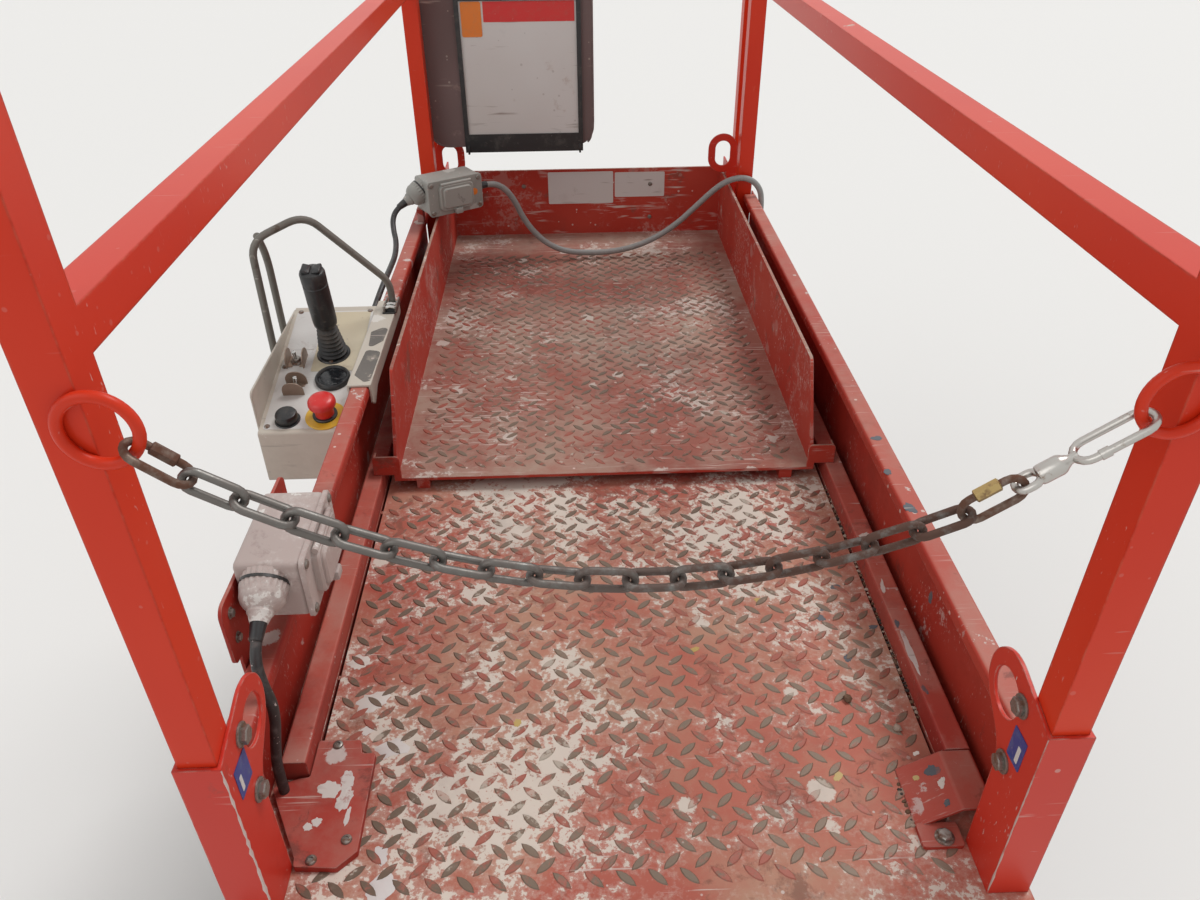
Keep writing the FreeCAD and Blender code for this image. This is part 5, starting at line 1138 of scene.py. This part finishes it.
def makeGuardBar(look):
    outer, near, far, wire = look["outer"], look["near"], look["far"], look["wire"]
    footX, footY = look["foot"]
    loop = [(outer, near, 100), (outer, near + 3, 317), (-463, 950, 341), (footX, footY, 200), (footX, footY, 158)]
    second = [(outer, far, 100), (outer, far - 4, 268), (outer + 5, near + 26, 318)]
    piece = startPiece()
    for path in (loop, second):
        swept(piece, "barGrey", cornered(path, look["bend"]), wire, 16)
    for y in (near, far):
        slab(piece, "barGrey", (y - 14, y + 14), (82, 118), 8, 3, facing(1, look["face"]), 0.6)
        turned(piece, "boltSteel", [(5, 0), (5, 3), (3.8, 4), (0, 4)], 6,
            standing((look["face"], y + 7, 90), (-1, 0, 0)))
    endPiece(piece, "control_guard_bar", "platform", ["control_guard"], 50)


def cornered(path, trim, steps=7):
    # a bent bar's middle line: straight runs joined by smooth bends
    path = [Vector(point) for point in path]
    line = [path[0]]
    for back, here, ahead in zip(path, path[1:], path[2:]):
        reach = min(trim, (here - back).length * 0.48, (ahead - here).length * 0.48)
        first = here + (back - here).normalized() * reach
        last = here + (ahead - here).normalized() * reach
        for step in range(steps + 1):
            share = step / steps
            line.append(first.lerp(here, share).lerp(here.lerp(last, share), share))
    return line + [path[-1]]


makeControls(controlsLook)
makePanelSheet(sheetLook)
makeGuardBar(guardBarLook)
print("controls made")


# The weatherproof outlet beside the left toe board, and the same unit in grey on the far corner
outletLook = {"deep": 65, "long": 120, "high": 70, "glandTilt": 25}
units = {
    "outlet_unit": {"node": "outlet_box", "finish": "outletCream", "place": at(-380, 205, 188), "slot": "box_cream",
        "sideGland": False},
    "junction_unit": {"node": "junction_box", "finish": "junctionGrey", "slot": "box_grey", "sideGland": True,
        "place": at(-366, 1440, 178) @ Matrix.Rotation(math.radians(-58), 4, "Z")},
}


def makeUnit(name, unit, look):
    piece = startPiece(deckFrame @ unit["place"])
    deep, long, high = look["deep"], look["long"], look["high"]
    finish = unit["finish"]
    block(piece, finish, (0, 0, 0), (deep + 0.5, long, high), 6, segments=3)
    for level, y, z, radius, thick, edge in ((0, -2, -2, 8, 5, 1.2), (5, 22, 8, 10, 8, 2), (13, 28, 14, 8, 4, 2)):
        slab(piece, finish, (y, long - y), (z, high - z), radius, thick, facing(1, deep + level), edge)
    for y in (6.5, long - 6.5):
        for z in (6.5, high - 6.5):
            turned(piece, "boltSteel", [(5, 0), (5, 1.2), (3.6, 2.2), (0, 2.3)], 18,
                standing((deep + 5, y, z), (1, 0, 0)))
    block(piece, finish, (deep + 5, long / 2 - 8, 0), (deep + 19, long / 2 + 8, 12), 2.5)
    turned(piece, finish, [(3.4, 0), (3.4, long - 52)], 14, standing((deep + 9, 26, high - 7), (0, 1, 0)))
    tilt = math.radians(look["glandTilt"])
    gland = standing((28, 4, 46), (0, -math.cos(tilt), -math.sin(tilt)))
    turned(piece, finish, [(20, -8), (23.8, -6), (24, 8), (23, 14)], 48, gland, 0.045)
    turned(piece, finish, [(23, 12), (22.4, 20), (20, 25), (17, 28.6), (13, 31), (13, 34), (11, 37), (8.6, 44)], 40,
        gland)
    turned(piece, "blackPlastic", [(8.4, 42), (7.6, 50), (6.1, 62)], 24, gland)
    turned(piece, "blackPlastic", [(24.3, 2), (24.3, 5)], 40, gland)
    if unit["sideGland"]:
        side = standing((35, long, 32), (0, 1, 0))
        turned(piece, "blackPlastic", [(15, -2), (15, 5), (13.4, 6)], 6, side)
        turned(piece, "blackPlastic", [(12.6, 5), (12, 10), (9.4, 15), (7.6, 20), (6.9, 30)], 28, side)
        turned(piece, "labelOrange", [(7, 0), (7, 1), (0, 1.6)], 20, standing((deep + 5, long - 17, 35), (1, 0, 0)))
        bracket = blockForm((-366, 1425, 152), (-352, 1447, 180), 1.2)
        addForm(piece, bracket, "oldRed", unit["place"].inverted())
    endPiece(piece, name, "platform", [unit["node"]], 30)


for unitName, unit in units.items():
    makeUnit(unitName, unit, outletLook)
print("outlet units:", len(units))


# Bolts and screws: the body that carries them, kind, frame, places, the way their heads face, and head radius
def makeFasteners():
    washer = [(1.32, 0), (1.32, 0.16), (1.22, 0.22), (0.9, 0.22)]
    hexagon = [(0.97, 0.2), (1, 0.26), (1, 0.74), (0.86, 0.84), (0.5, 0.86)]
    pan = [(1, 0), (1, 0.26), (0.9, 0.42), (0.66, 0.52), (0.46, 0.52), (0.42, 0.3), (0.2, 0.3)]
    shapes = {"hex": smallShape("hexHead", turnedForm(washer, 18), turnedForm(hexagon, 6)),
        "pan": smallShape("panHead", turnedForm(pan, 12))}
    for body, sets in fastenerSpots().items():
        for kind in ("hex", "pan"):
            spots = []
            for index, (found, place, along, size) in enumerate(sets):
                if found == kind:
                    spots.append((place, aimed(along, 17 + 37 * index), size))
            if spots:
                copiesOf("%s_heads_%s" % (kind, body), shapes[kind], spots, "boltSteel", body)
    for shape in shapes.values():
        bpy.data.objects.remove(shape)


pairedHeads = [  # on both sides
    ("platform", "hex", onDeck, [(333.5, 41, 212), (333.5, 40, 139)], (-1, 0, 0), 8.6),
    ("platform", "pan", onDeck, [(379.8, y, -34) for y in range(110, 1500, 230)], (1, 0, 0), 7),
    ("extension", "hex", onDeck, [(373.2, 1657, 196), (373.2, 1657, 120)], (1, 0, 0), 7),
    ("extension", "pan", onDeck, [(150, 1685.6, 60), (150, 1685.6, 140)], (0, -1, 0), 5),
]
singleHeads = [
    ("platform", "pan", onDeck, [(-315, 190, 7.9), (-314.5, 53.2, 7.9), (-284, 74, 7.9)], (0, 0, 1), 5.6),
    ("platform", "hex", onDeck, [(312, 53, 4.9)], (0, 0, 1), 7.4),
    ("platform", "hex", onDeck, [(-380.1, y, z) for y in (178, 352) for z in (222, 190)], (1, 0, 0), 4.6),
    ("platform", "pan", onDeck, [(-533.2, 745, 60), (-533.2, 1005, 60)], (-1, 0, 0), 6),
]
hubBolts = {"x": 380.8, "circle": 66, "count": 5, "turn": 0.3, "radius": 9}
pinBolts = {"x": 319.4, "outer": (-725, 490, 8), "inner": (-1.7, 440, 10), "rise": 100}  # y, z and head radius
endBolts = {"y": 850, "places": ((110, 400), (110, 240), (230, 240)), "radius": 9}


def fastenerSpots():
    spots = {}

    def put(body, kind, onFrame, places, along, size, side=1):
        for x, y, z in places:
            spots.setdefault(body, []).append((kind, onFrame(side * x, y, z), (side * along[0], *along[1:]), size))

    for side in (-1, 1):
        for row in pairedHeads:
            put(*row, side)
    for row in singleHeads:
        put(*row)
    for wheel, (side, axleY) in wheels.items():
        angles = [math.tau * step / hubBolts["count"] + hubBolts["turn"] for step in range(hubBolts["count"])]
        places = [(hubBolts["x"], axleY + hubBolts["circle"] * math.cos(angle),
                   tyreLook["radius"] + hubBolts["circle"] * math.sin(angle)) for angle in angles]
        put("wheel_" + wheel, "hex", onMachine, places, (1, 0, 0), hubBolts["radius"], side)
    for level in range(1, 5):
        for side in (-1, 1):
            for kind in ("outer", "inner"):
                y, z, radius = pinBolts[kind]
                places = [(pinBolts["x"], y, z + pinBolts["rise"] * level)]
                put("arms_%s_%d" % (kind, level), "hex", onMachine, places, (1, 0, 0), radius, side)
    for side in (-1, 1):
        for end in (-1, 1):
            places = [(x, end * endBolts["y"], z) for x, z in endBolts["places"]]
            put("chassis", "hex", onMachine, places, (0, end, 0), endBolts["radius"], side)
    return spots


makeFasteners()
print("fasteners made")


# Blank labels and plates, by finish, x from and to, z from and to, y, thickness and rounding of the corners
labelSpots = [
    ("panelWhite", (-92, 62), (96, 172), 1685.5, 0.5, 3),
    ("panelWhite", (66, 184), (110, 169), 1685.5, 0.5, 3),
    ("labelOrange", (-256, -214), (484, 551), 1599.6, 0.6, 4),
    ("stopRed", (-210, -22), (512, 551), 1599.7, 0.45, 1),
]
lugLabelLook = {"left": ((10.5, 38.5), (165, 199.5)), "right": ((16.5, 39.5), (154, 190)), "face": 333.6,
    "thick": 0.5}


def makeLabels(look):
    piece = startPiece()
    for finish, wide, high, level, thick, radius in labelSpots:
        addForm(piece, plateForm(slabOutline(wide, high, radius), thick), finish, at(0, level, 0) @ onSideXZ)
    endPiece(piece, "blank_labels", "extension")
    piece = startPiece()
    for side, name in ((-1, "left"), (1, "right")):
        (near, far), (low, high) = look[name]
        for finish, thick, wide, tall in (("labelBlue", look["thick"], (near, far), (low, high)),
                ("panelWhite", look["thick"] + 0.15, (near + 5, near + 10), (low + 5, high - 12))):
            slab(piece, finish, wide, tall, 1.2, thick, facing(-side, side * look["face"], thick))
    endPiece(piece, "lug_labels", "platform")


holderLook = {"face": 1599.6, "rise": 3.2, "rim": ((-269, -9), (247, 563)),
    "hole": ((-259.5, -18.5), (285.5, 552.5)), "feet": (-262, -16), "screws": (-225, -85), "lipY": 1603.6,
    "lips": [[(-345, 575), (-345, 300), (-338, 272), (-318, 260), (-290, 259)],
        [(14.5, 575), (14.5, 300), (8, 272), (2, 264)]]}


def makeHolderTrim(look):
    # the black frame round the sign, its two feet and screws, and a raised lip down each side of the case
    piece = startPiece()
    outline = [corner[:2] for key in ("rim", "hole") for corner in slabOutline(*look[key], 0)]
    points = [(x, look["face"] - depth, z) for depth in (0, look["rise"]) for x, z in outline]
    faces = []
    for index in range(4):
        following = (index + 1) % 4
        faces += [[8 + index, 8 + following, 12 + following, 12 + index],
            [index, following, 8 + following, 8 + index],
            [4 + index, 12 + index, 12 + following, 4 + following],
            [index, 4 + index, 4 + following, following]]
    addForm(piece, (points, faces), "blackPlastic")
    for x in look["feet"]:
        block(piece, "blackPlastic", (x - 2.2, 1594, 243), (x + 2.2, 1600, 262), 0.8)
    for x in look["screws"]:
        turned(piece, "boltSteel", [(5.2, 0), (5.2, 2), (3.6, 3.4), (0, 3.6)], 16,
            standing((x, 1605, 569), (0, -1, 0)))
    for lip in look["lips"]:
        swept(piece, "holderGrey", cornered([(x, look["lipY"], z) for x, z in lip], 12), 2.2, 8)
    endPiece(piece, "holder_trim", "extension")


scratchLook = {"edgeX": 333.5, "nearY": -3.8, "low": 6, "high": 223, "step": 7, "thick": 0.25, "proud": 0.05}


def makeSocketScratches(look):
    # paint worn through along the socket's bend: a thin uneven strip on each side of the edge
    piece = startPiece()
    draw = random.Random(12)
    heights = list(range(look["low"], look["high"], look["step"])) + [look["high"]]
    for side, widest in ((-1, 3.6), (1, 1.5)):
        widths = [widest * draw.uniform(0.25, 1.0) * (0.5 + 0.7 * (1 - index / len(heights)))
            for index in range(len(heights))]
        for across in (True, False):
            edge = [(look["edgeX"] * side if across else look["nearY"], z) for z in heights]
            toward = side if across else 1
            inner = [(edge[i][0] + toward * widths[i] * draw.uniform(0.5, 1), z) for i, z in enumerate(heights)]
            place = facing(-side, side * (look["edgeX"] + look["proud"]), look["thick"])
            if across:
                place = at(0, look["nearY"] + look["proud"], 0) @ onSideXZ
            addForm(piece, plateForm(edge + inner[::-1], look["thick"]), "chippedPaint", place)
    endPiece(piece, "socket_scratches", "platform")


# Spots of paint and chips on the platform: place, radius, how stretched, the direction of the stretch in degrees,
# and the slope of a face that rises to the right
spillSpots = {
    "splashWhite": [(-313.5, 133.8, 8, 10.5, 1.3, 160, 0), (-296, 143, 8, 7.4, 1.7, 95, 0),
        (-295, 122, 8, 9.6, 1.5, 80, 0), (-288.5, 100, 8, 3.0, 4.2, 86, 0), (-318.3, 95.9, 8, 4.9, 1.2, 20, 0),
        (-327, 89.7, 8, 4.4, 1.1, 0, 0), (-243, 27.5, 0, 12, 1.3, 60, 0), (-249, 60.6, 0, 7.5, 1.5, 110, 0),
        (-289, 257, 0, 15, 1.4, 20, 0), (-316, 318, 0, 11.5, 1.1, 0, 0), (-288.6, 214.3, 0, 6.4, 1.2, 30, 0),
        (-259, 190, 0, 12.5, 1.5, 10, 0), (345.9, 279, 28, 4.0, 9.5, 90, 0), (346.2, 392, 28, 3.0, 4.0, 84, 0),
        (350, 497, 28, 4.0, 2.2, 30, 0), (323, 103, 22.3, 3.8, 1.6, 60, 32.5), (312, 146, 15.3, 2.6, 1.3, 0, 32.5)],
    "chipGrey": [(344.4, 326, 28, 2.8, 2.4, 80, 0), (344.2, 221, 28, 2.6, 2.8, 100, 0),
        (325.6, 349.5, 0, 4.6, 1.4, 10, 0), (280.3, 298.9, 0, 5.0, 1.2, 70, 0), (261.6, 370.4, 0, 5.5, 1.5, 130, 0),
        (270, 384, 0, 3.0, 1.6, 20, 0), (297.4, 425.2, 0, 5.0, 1.4, 0, 0), (363.5, 552, 152, 5.5, 1.5, 10, 0),
        (356, 474, 152, 4.8, 1.3, 50, 0), (361, 397, 152, 6.5, 1.5, 110, 0), (319.2, 119.5, 19.9, 6.2, 1.3, 0, 32.5),
        (321, 80.5, 21, 3.2, 1.5, 50, 32.5), (377, 325, 72, 4.2, 1.9, 0, 90)],
    "spotYellow": [(226, 131, 0, 4.5, 1.4, 40, 0), (190, 405, 0, 4.0, 1.5, 10, 0), (-120, 218, 0, 4.5, 1.3, 70, 0),
        (96, 322, 0, 3.6, 1.6, 20, 0), (303.8, 118.8, 10.1, 3.0, 1.2, 0, 32.5)],
}


def makeSpills(sets):
    draw = random.Random(31)
    piece = startPiece()
    for finish, spots in sets.items():
        for x, y, z, radius, stretch, angle, slope in spots:
            count = 26
            reach = [1.0]
            for index in range(count - 1):  # the rim wanders, with a few longer fingers
                reach.append(0.5 * reach[-1] + 0.5 * draw.uniform(0.55, 1.3) + (0.22 if draw.random() < 0.14 else 0))
            turn = Matrix.Rotation(math.radians(-slope), 4, "Y") @ Matrix.Rotation(math.radians(angle), 4, "Z")
            turn = turn @ Matrix.Diagonal((stretch, 1, 1, 1))
            rim = [(radius * r * math.cos(math.tau * i / count), radius * r * math.sin(math.tau * i / count)) for i,
                r in enumerate(reach)]
            top = [(u * 0.95, v * 0.95, 0.35) for u, v in rim]
            points = [(u, v, -0.05) for u, v in rim] + top + [(0, 0, 0.42), (0, 0, -0.05)]
            faces = []
            for index in range(count):
                following = (index + 1) % count
                faces += [[index, following, count + following, count + index],
                    [count + index, count + following, 2 * count], [following, index, 2 * count + 1]]
            addForm(piece, (points, faces), finish, at(x, y, z) @ turn)
    endPiece(piece, "paint_spills_platform", "platform")


# Crumbs of dirt and rust: wedged in the slot beside the right keeper, along the hood's edge, and two lumps
# on the deck
crumbLook = {"slotX": 336.2, "slotY": (206, 655), "hoodX": 286.6, "hoodY": (70, 133), "step": (3.2, 9.5),
    "radius": (1.3, 2.7), "lumps": [(262, 234, 5.6), (307, 190, 4.8)], "profile": [(0, -0.7), (0.8, -0.45),
    (1.0, 0.05), (0.66, 0.55), (0, 0.7)], "sides": 7}


def makeCrumbs(look):
    draw = random.Random(47)
    piece = startPiece()

    def addCrumb(x, y, z, radius):
        points, faces = turnedForm([(radius * r, radius * h) for r, h in look["profile"]], look["sides"])
        points = [tuple(value * draw.uniform(0.72, 1.2) for value in point) for point in points]
        turn = Matrix.Rotation(draw.uniform(0, math.tau), 4, "Z") @ Matrix.Diagonal((draw.uniform(1, 1.5), 1, 1, 1))
        finish = draw.choice(("crumbBrown", "crumbBrown", "crumbDark", "crumbPale"))
        addForm(piece, (points, faces), finish, at(x, y, z) @ turn)

    for key, ends in (("slotX", look["slotY"]), ("hoodX", look["hoodY"])):
        y = ends[0]
        while y < ends[1]:
            radius = draw.uniform(*look["radius"])
            addCrumb(look[key] + draw.uniform(-0.5, 0.5), y, draw.uniform(-0.3, 0.7), radius)
            y += draw.uniform(*look["step"])
    for x, y, radius in look["lumps"]:
        addCrumb(x, y, 0.6 * radius, radius)
    endPiece(piece, "deck_crumbs", "platform", sharp=50)


makeCrumbs(crumbLook)
makeSpills(spillSpots)
makeLabels(lugLabelLook)
makeHolderTrim(holderLook)
makeSocketScratches(scratchLook)
print("labels and sign trim made")


# Wheels: a nut and its pin on each spindle, and two raised rims on each hub
wheelTrimLook = {"nut": 392.9, "pin": 399, "pinHalf": 17, "hubFace": 381}


def makeWheelTrim(look):
    for wheel, (side, axleY) in wheels.items():
        body = "chassis" if "rear" in wheel else "knuckle_" + wheel.split("_")[1]
        piece, axleZ = startPiece(machineFrame), tyreLook["radius"]
        place = standing((side * look["nut"], axleY, axleZ), (side, 0, 0))
        turned(piece, "boltSteel", [(16.4, -2.5), (16.4, 0.4), (15.2, 0.8)], 28, place)
        turned(piece, "boltSteel", [(14.4, 0.4), (14.8, 1.4), (14.8, 8.2), (12.4, 9.4), (9, 9.4), (9, 6), (0, 6)], 6,
            place)
        turned(piece, "brightSteel", [(0, 0), (1.6, 0.6), (1.6, 33.4), (0, 34)], 10,
            standing((side * look["pin"], axleY - look["pinHalf"], axleZ), (0, 1, 0)))
        endPiece(piece, "spindle_nut_" + wheel, body)
        piece = startPiece(machineFrame)
        place = standing((side * look["hubFace"], axleY, axleZ), (side, 0, 0))
        turned(piece, "hubGrey", [(86, -0.5), (88.5, 1.6), (91.5, 1.6), (91.8, -0.5)], 56, place)
        turned(piece, "hubGrey", [(38.5, 6.1), (40, 1), (45, -0.5), (44, -0.5), (36.5, 5.6)], 40, place)
        endPiece(piece, "hub_rims_" + wheel, "wheel_" + wheel)


makeWheelTrim(wheelTrimLook)
print("wheel trim made")


# Side trays: door skin, louvres, latches, handle, hinge straps and blank labels on each outer face
trayLook = {"face": 384, "skins": [((-408, 332), (166, 402), 16, 2.6), ((-392, 316), (182, 386), 10, 1.2)],
    "latches": (-352, 276), "latchZ": 352, "handleZ": 356, "straps": (175, 335), "strapY": (-436, -404),
    "handle": [(-2, -46), (9, -42), (11, -30), (11, 30), (9, 42), (-2, 46)],
    "labels": [("panelWhite", (-330, -190), (212, 296), 5), ("ringYellow", (-58, 58), (214, 246), 4)], "louvres": 9,
    "louvreGap": 13.5, "louvreY": 190, "louvreZ": 206, "louvreLean": 0.28}


def makeTrayTrim(look):
    louvre = smallShape("louvre", blockForm((-34, -3.4, -1.4), (34, 3.4, 2.6), 1.8))
    for side, name in ((-1, "left"), (1, "right")):
        piece, level = startPiece(machineFrame), look["face"]
        for along, high, radius, thick in look["skins"]:
            slab(piece, "trayBlack", along, high, radius, thick, facing(side, side * level, thick))
            level += thick
        for y in look["latches"]:
            latch = standing((side * level, y, look["latchZ"]), (side, 0, 0))
            turned(piece, "boltSteel", [(19, 0), (19, 2), (17, 3.4), (11, 3.4), (10, 1.6), (0, 1.6)], 32, latch)
            block(piece, "boltSteel", (-2.4, -9.5, 1.4), (2.4, 9.5, 5.2), 1, latch)
        handle = [(side * (level + rise), y, look["handleZ"]) for rise, y in look["handle"]]
        swept(piece, "boltSteel", cornered(handle, 8), 4.6, 12)
        for finish, along, high, radius in look["labels"]:
            slab(piece, finish, along, high, radius, 0.6, facing(side, side * level, 0.6))
        for z in look["straps"]:
            place = facing(side, side * (look["face"] + 0.2), 3)
            slab(piece, "boltSteel", look["strapY"], (z - 16, z + 16), 5, 3, place, 0.8)
        endPiece(piece, "tray_skin_" + name, "tray_" + name)
        lean = look["louvreLean"]
        turn = Matrix((Vector((0, 1, 0)), Vector((-lean, 0, 1)).normalized(),
            Vector((side, 0, lean)).normalized())).transposed().to_euler()
        spots = [(onMachine(side * (look["face"] + 3.4), look["louvreY"], look["louvreZ"] + index
            * look["louvreGap"]), turn, 1.0) for index in range(look["louvres"])]
        copiesOf("tray_louvres_" + name, louvre, spots, "trayBlack", "tray_" + name)
    bpy.data.objects.remove(louvre)


makeTrayTrim(trayLook)
print("tray trim made")


# Ends of the chassis: rear covers with the charger inlet and a knob, a front plate, and grips on the ladder
chassisLook = {"end": 850, "covers": ((-272, -196), (196, 272)), "coverZ": (140, 340), "coverThick": 2.4, "sink": 0.4,
    "screwX": (-262, -206, 206, 262), "screwZ": (150, 330), "inletX": -234, "knobX": 234, "fittingZ": 292,
    "plate": ((-110, 110), (264, 330)), "treads": (195.2, 501.2, 807.7), "grips": 9, "gripGap": 32, "gripY": -899,
    "labels": [("panelWhite", (-262, -206), (170, 232)), ("ringYellow", (206, 262), (200, 236)),
    ("panelWhite", (206, 262), (158, 190))]}


def makeChassisTrim(look):
    piece = startPiece(machineFrame)
    rear = -look["end"] + look["sink"] - look["coverThick"]  # the covers' outer faces; what sits on them bites 0.2 in

    def behind(x, z):
        return standing((x, rear + 0.2, z), (0, -1, 0))

    for wide in look["covers"]:
        slab(piece, "trayBlack", wide, look["coverZ"], 8, look["coverThick"],
            at(0, look["sink"] - look["end"], 0) @ onSideXZ, 0.8)
    for x in look["screwX"]:
        for z in look["screwZ"]:
            turned(piece, "boltSteel", [(5, 0), (5, 1.6), (3.6, 2.6), (0, 2.7)], 14, behind(x, z))
    inlet = behind(look["inletX"], look["fittingZ"])
    turned(piece, "blackPlastic", [(27, 0), (27, 3), (25, 5), (23, 5), (22, 8), (19, 9), (18, 5), (0, 5)], 36, inlet)
    turned(piece, "blackPlastic", [(20, 8.6), (21, 10), (20, 12.4), (0, 13)], 36, inlet)
    turned(piece, "stopRed", [(9, 0), (9, 8), (6, 9), (6, 16), (13, 19), (14, 25), (12, 28), (0, 29)], 30,
        behind(look["knobX"], look["fittingZ"]))
    for finish, wide, high in look["labels"]:
        slab(piece, finish, wide, high, 4, 0.6, at(0, rear, 0) @ onSideXZ)
    slab(piece, "panelWhite", *look["plate"], 5, 0.6, at(0, look["end"] + 0.6, 0) @ onSideXZ)
    endPiece(piece, "chassis_trim", "chassis")
    piece = startPiece(machineFrame)
    for z in look["treads"]:
        for index in range(look["grips"]):
            x = (index - (look["grips"] - 1) / 2) * look["gripGap"]
            turned(piece, "ladderRed", [(4.4, -0.6), (4.4, 0.7), (3.4, 1.2), (0, 1.2)], 10,
                standing((x, look["gripY"], z - 0.8)))
    endPiece(piece, "ladder_grips", "chassis")


armLook = {"long": 1450, "rise": 100, "pinY": -725, "pinZ": 490, "face": 314, "dashes": 9, "dashStart": 150,
    "dashGap": 62, "dash": [(-20, -9, 2), (14, -9, 2), (22, 9, 2), (-12, 9, 2)], "nipples": (64, 1386)}


def makeArmTrim(look):
    # blank yellow dashes along the lowest outer arms, and grease nipples by the pins of all outer arms
    angle = math.asin(look["rise"] / look["long"])
    for level in range(1, 5):
        piece = startPiece(machineFrame)

        def onArm(station):
            return (look["pinY"] + station * math.cos(angle), look["pinZ"] + look["rise"] * level - station
                * math.sin(angle))

        for side in (-1, 1):
            for index in range(look["dashes"] if level == 1 else 0):
                dash = at(0, *onArm(look["dashStart"] + index * look["dashGap"])) @ facing(side, side * look["face"],
                    0.6)
                addForm(piece, plateForm(look["dash"], 0.6), "ringYellow", dash)
            for station in look["nipples"]:
                y, z = onArm(station)
                turned(piece, "brass", [(4, -0.5), (4, 1.4), (2.2, 1.8), (1.8, 4.4), (0, 4.8)], 10,
                    standing((side * look["face"], y, z + 12), (side, 0, 0)))
        endPiece(piece, "arm_trim_%d" % level, "arms_outer_%d" % level)


makeChassisTrim(chassisLook)
makeArmTrim(armLook)
print("chassis and arm trim made")


# Control box trim: the clip that takes the bar's foot, and worn patches beside it
boxTrimLook = {"top": 155.2, "screws": (-24, -12), "patches": [[(-377, 905, 5), (-350, 930, 8), (-352, 872, 7),
    (-372, 846, 5)], [(-378, 760, 4), (-360, 738, 4), (-351, 742, 4), (-350, 836, 10), (-374, 842, 6)]]}


def makeBoxTrim(look):
    piece, top = startPiece(), look["top"]
    x, y = guardBarLook["foot"]
    block(piece, "blackPlastic", (x - 13, y - 34, top), (x + 9, y + 12, top + 2.2), 0.8)
    for side in (-1, 1):
        block(piece, "boltSteel", (x + side * 10 - 1.6, y - 32, top + 0.8), (x + side * 10 + 1.6, y + 10, top + 12.8),
            1)
    for back in look["screws"]:
        bent = [(x - 10, y + back, top + 6.8), (x, y + back, top + 9.8), (x + 10, y + back, top + 6.8)]
        swept(piece, "brightSteel", bent, 3.4, 12)
    for outline in look["patches"]:
        addForm(piece, plateForm(outline, 0.5, 0.15), "wornPatch", at(0, 0, top))
    endPiece(piece, "box_trim", "platform")


makeBoxTrim(boxTrimLook)


# Floor, light and background
stageLook = {"reach": 45, "floor": (0.80, 0.79, 0.77), "background": (0.90, 0.90, 0.89), "sky": 0.52,
    "suns": [((0.55, 0.42, 1.25), 1.55, 22), ((-0.9, -0.8, 0.9), 0.45, 40)]}


def makeStage(look):
    floor = bmesh.new()
    bmesh.ops.create_grid(floor, x_segments=1, y_segments=1, size=look["reach"])
    mesh = bpy.data.meshes.new("floor")
    floor.to_mesh(mesh)
    floor.free()
    material, _, shader = newMaterial("floorPale", roughness=0.8)
    shader.inputs["Base Color"].default_value = (*look["floor"], 1)
    mesh.materials.append(material)
    looseObject("floor", mesh)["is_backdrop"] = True
    world = bpy.data.worlds.new("studio")
    world.use_nodes = True
    tree = world.node_tree
    tree.nodes.clear()
    path = addNode(tree, "ShaderNodeLightPath").outputs
    seen = highest(tree, path["Is Camera Ray"], highest(tree, path["Is Glossy Ray"], path["Is Transmission Ray"]))
    colour = mixColour(tree, seen, (look["sky"],) * 3, look["background"])
    ground = addNode(tree, "ShaderNodeBackground", {"Color": colour})
    tree.links.new(ground.outputs[0], addNode(tree, "ShaderNodeOutputWorld").inputs["Surface"])
    bpy.context.scene.world = world
    for index, (place, strength, soft) in enumerate(look["suns"]):
        lamp = bpy.data.lights.new("softSun%d" % index, "SUN")
        lamp.energy, lamp.angle = strength, math.radians(soft)
        thing = looseObject("softSun%d" % index, lamp)
        thing.location = Vector(place) * 4
        thing.rotation_euler = Vector(place).to_track_quat("Z", "Y").to_euler()


makeStage(stageLook)
bpy.context.scene.view_settings.view_transform = "Standard"

lowest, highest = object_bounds()
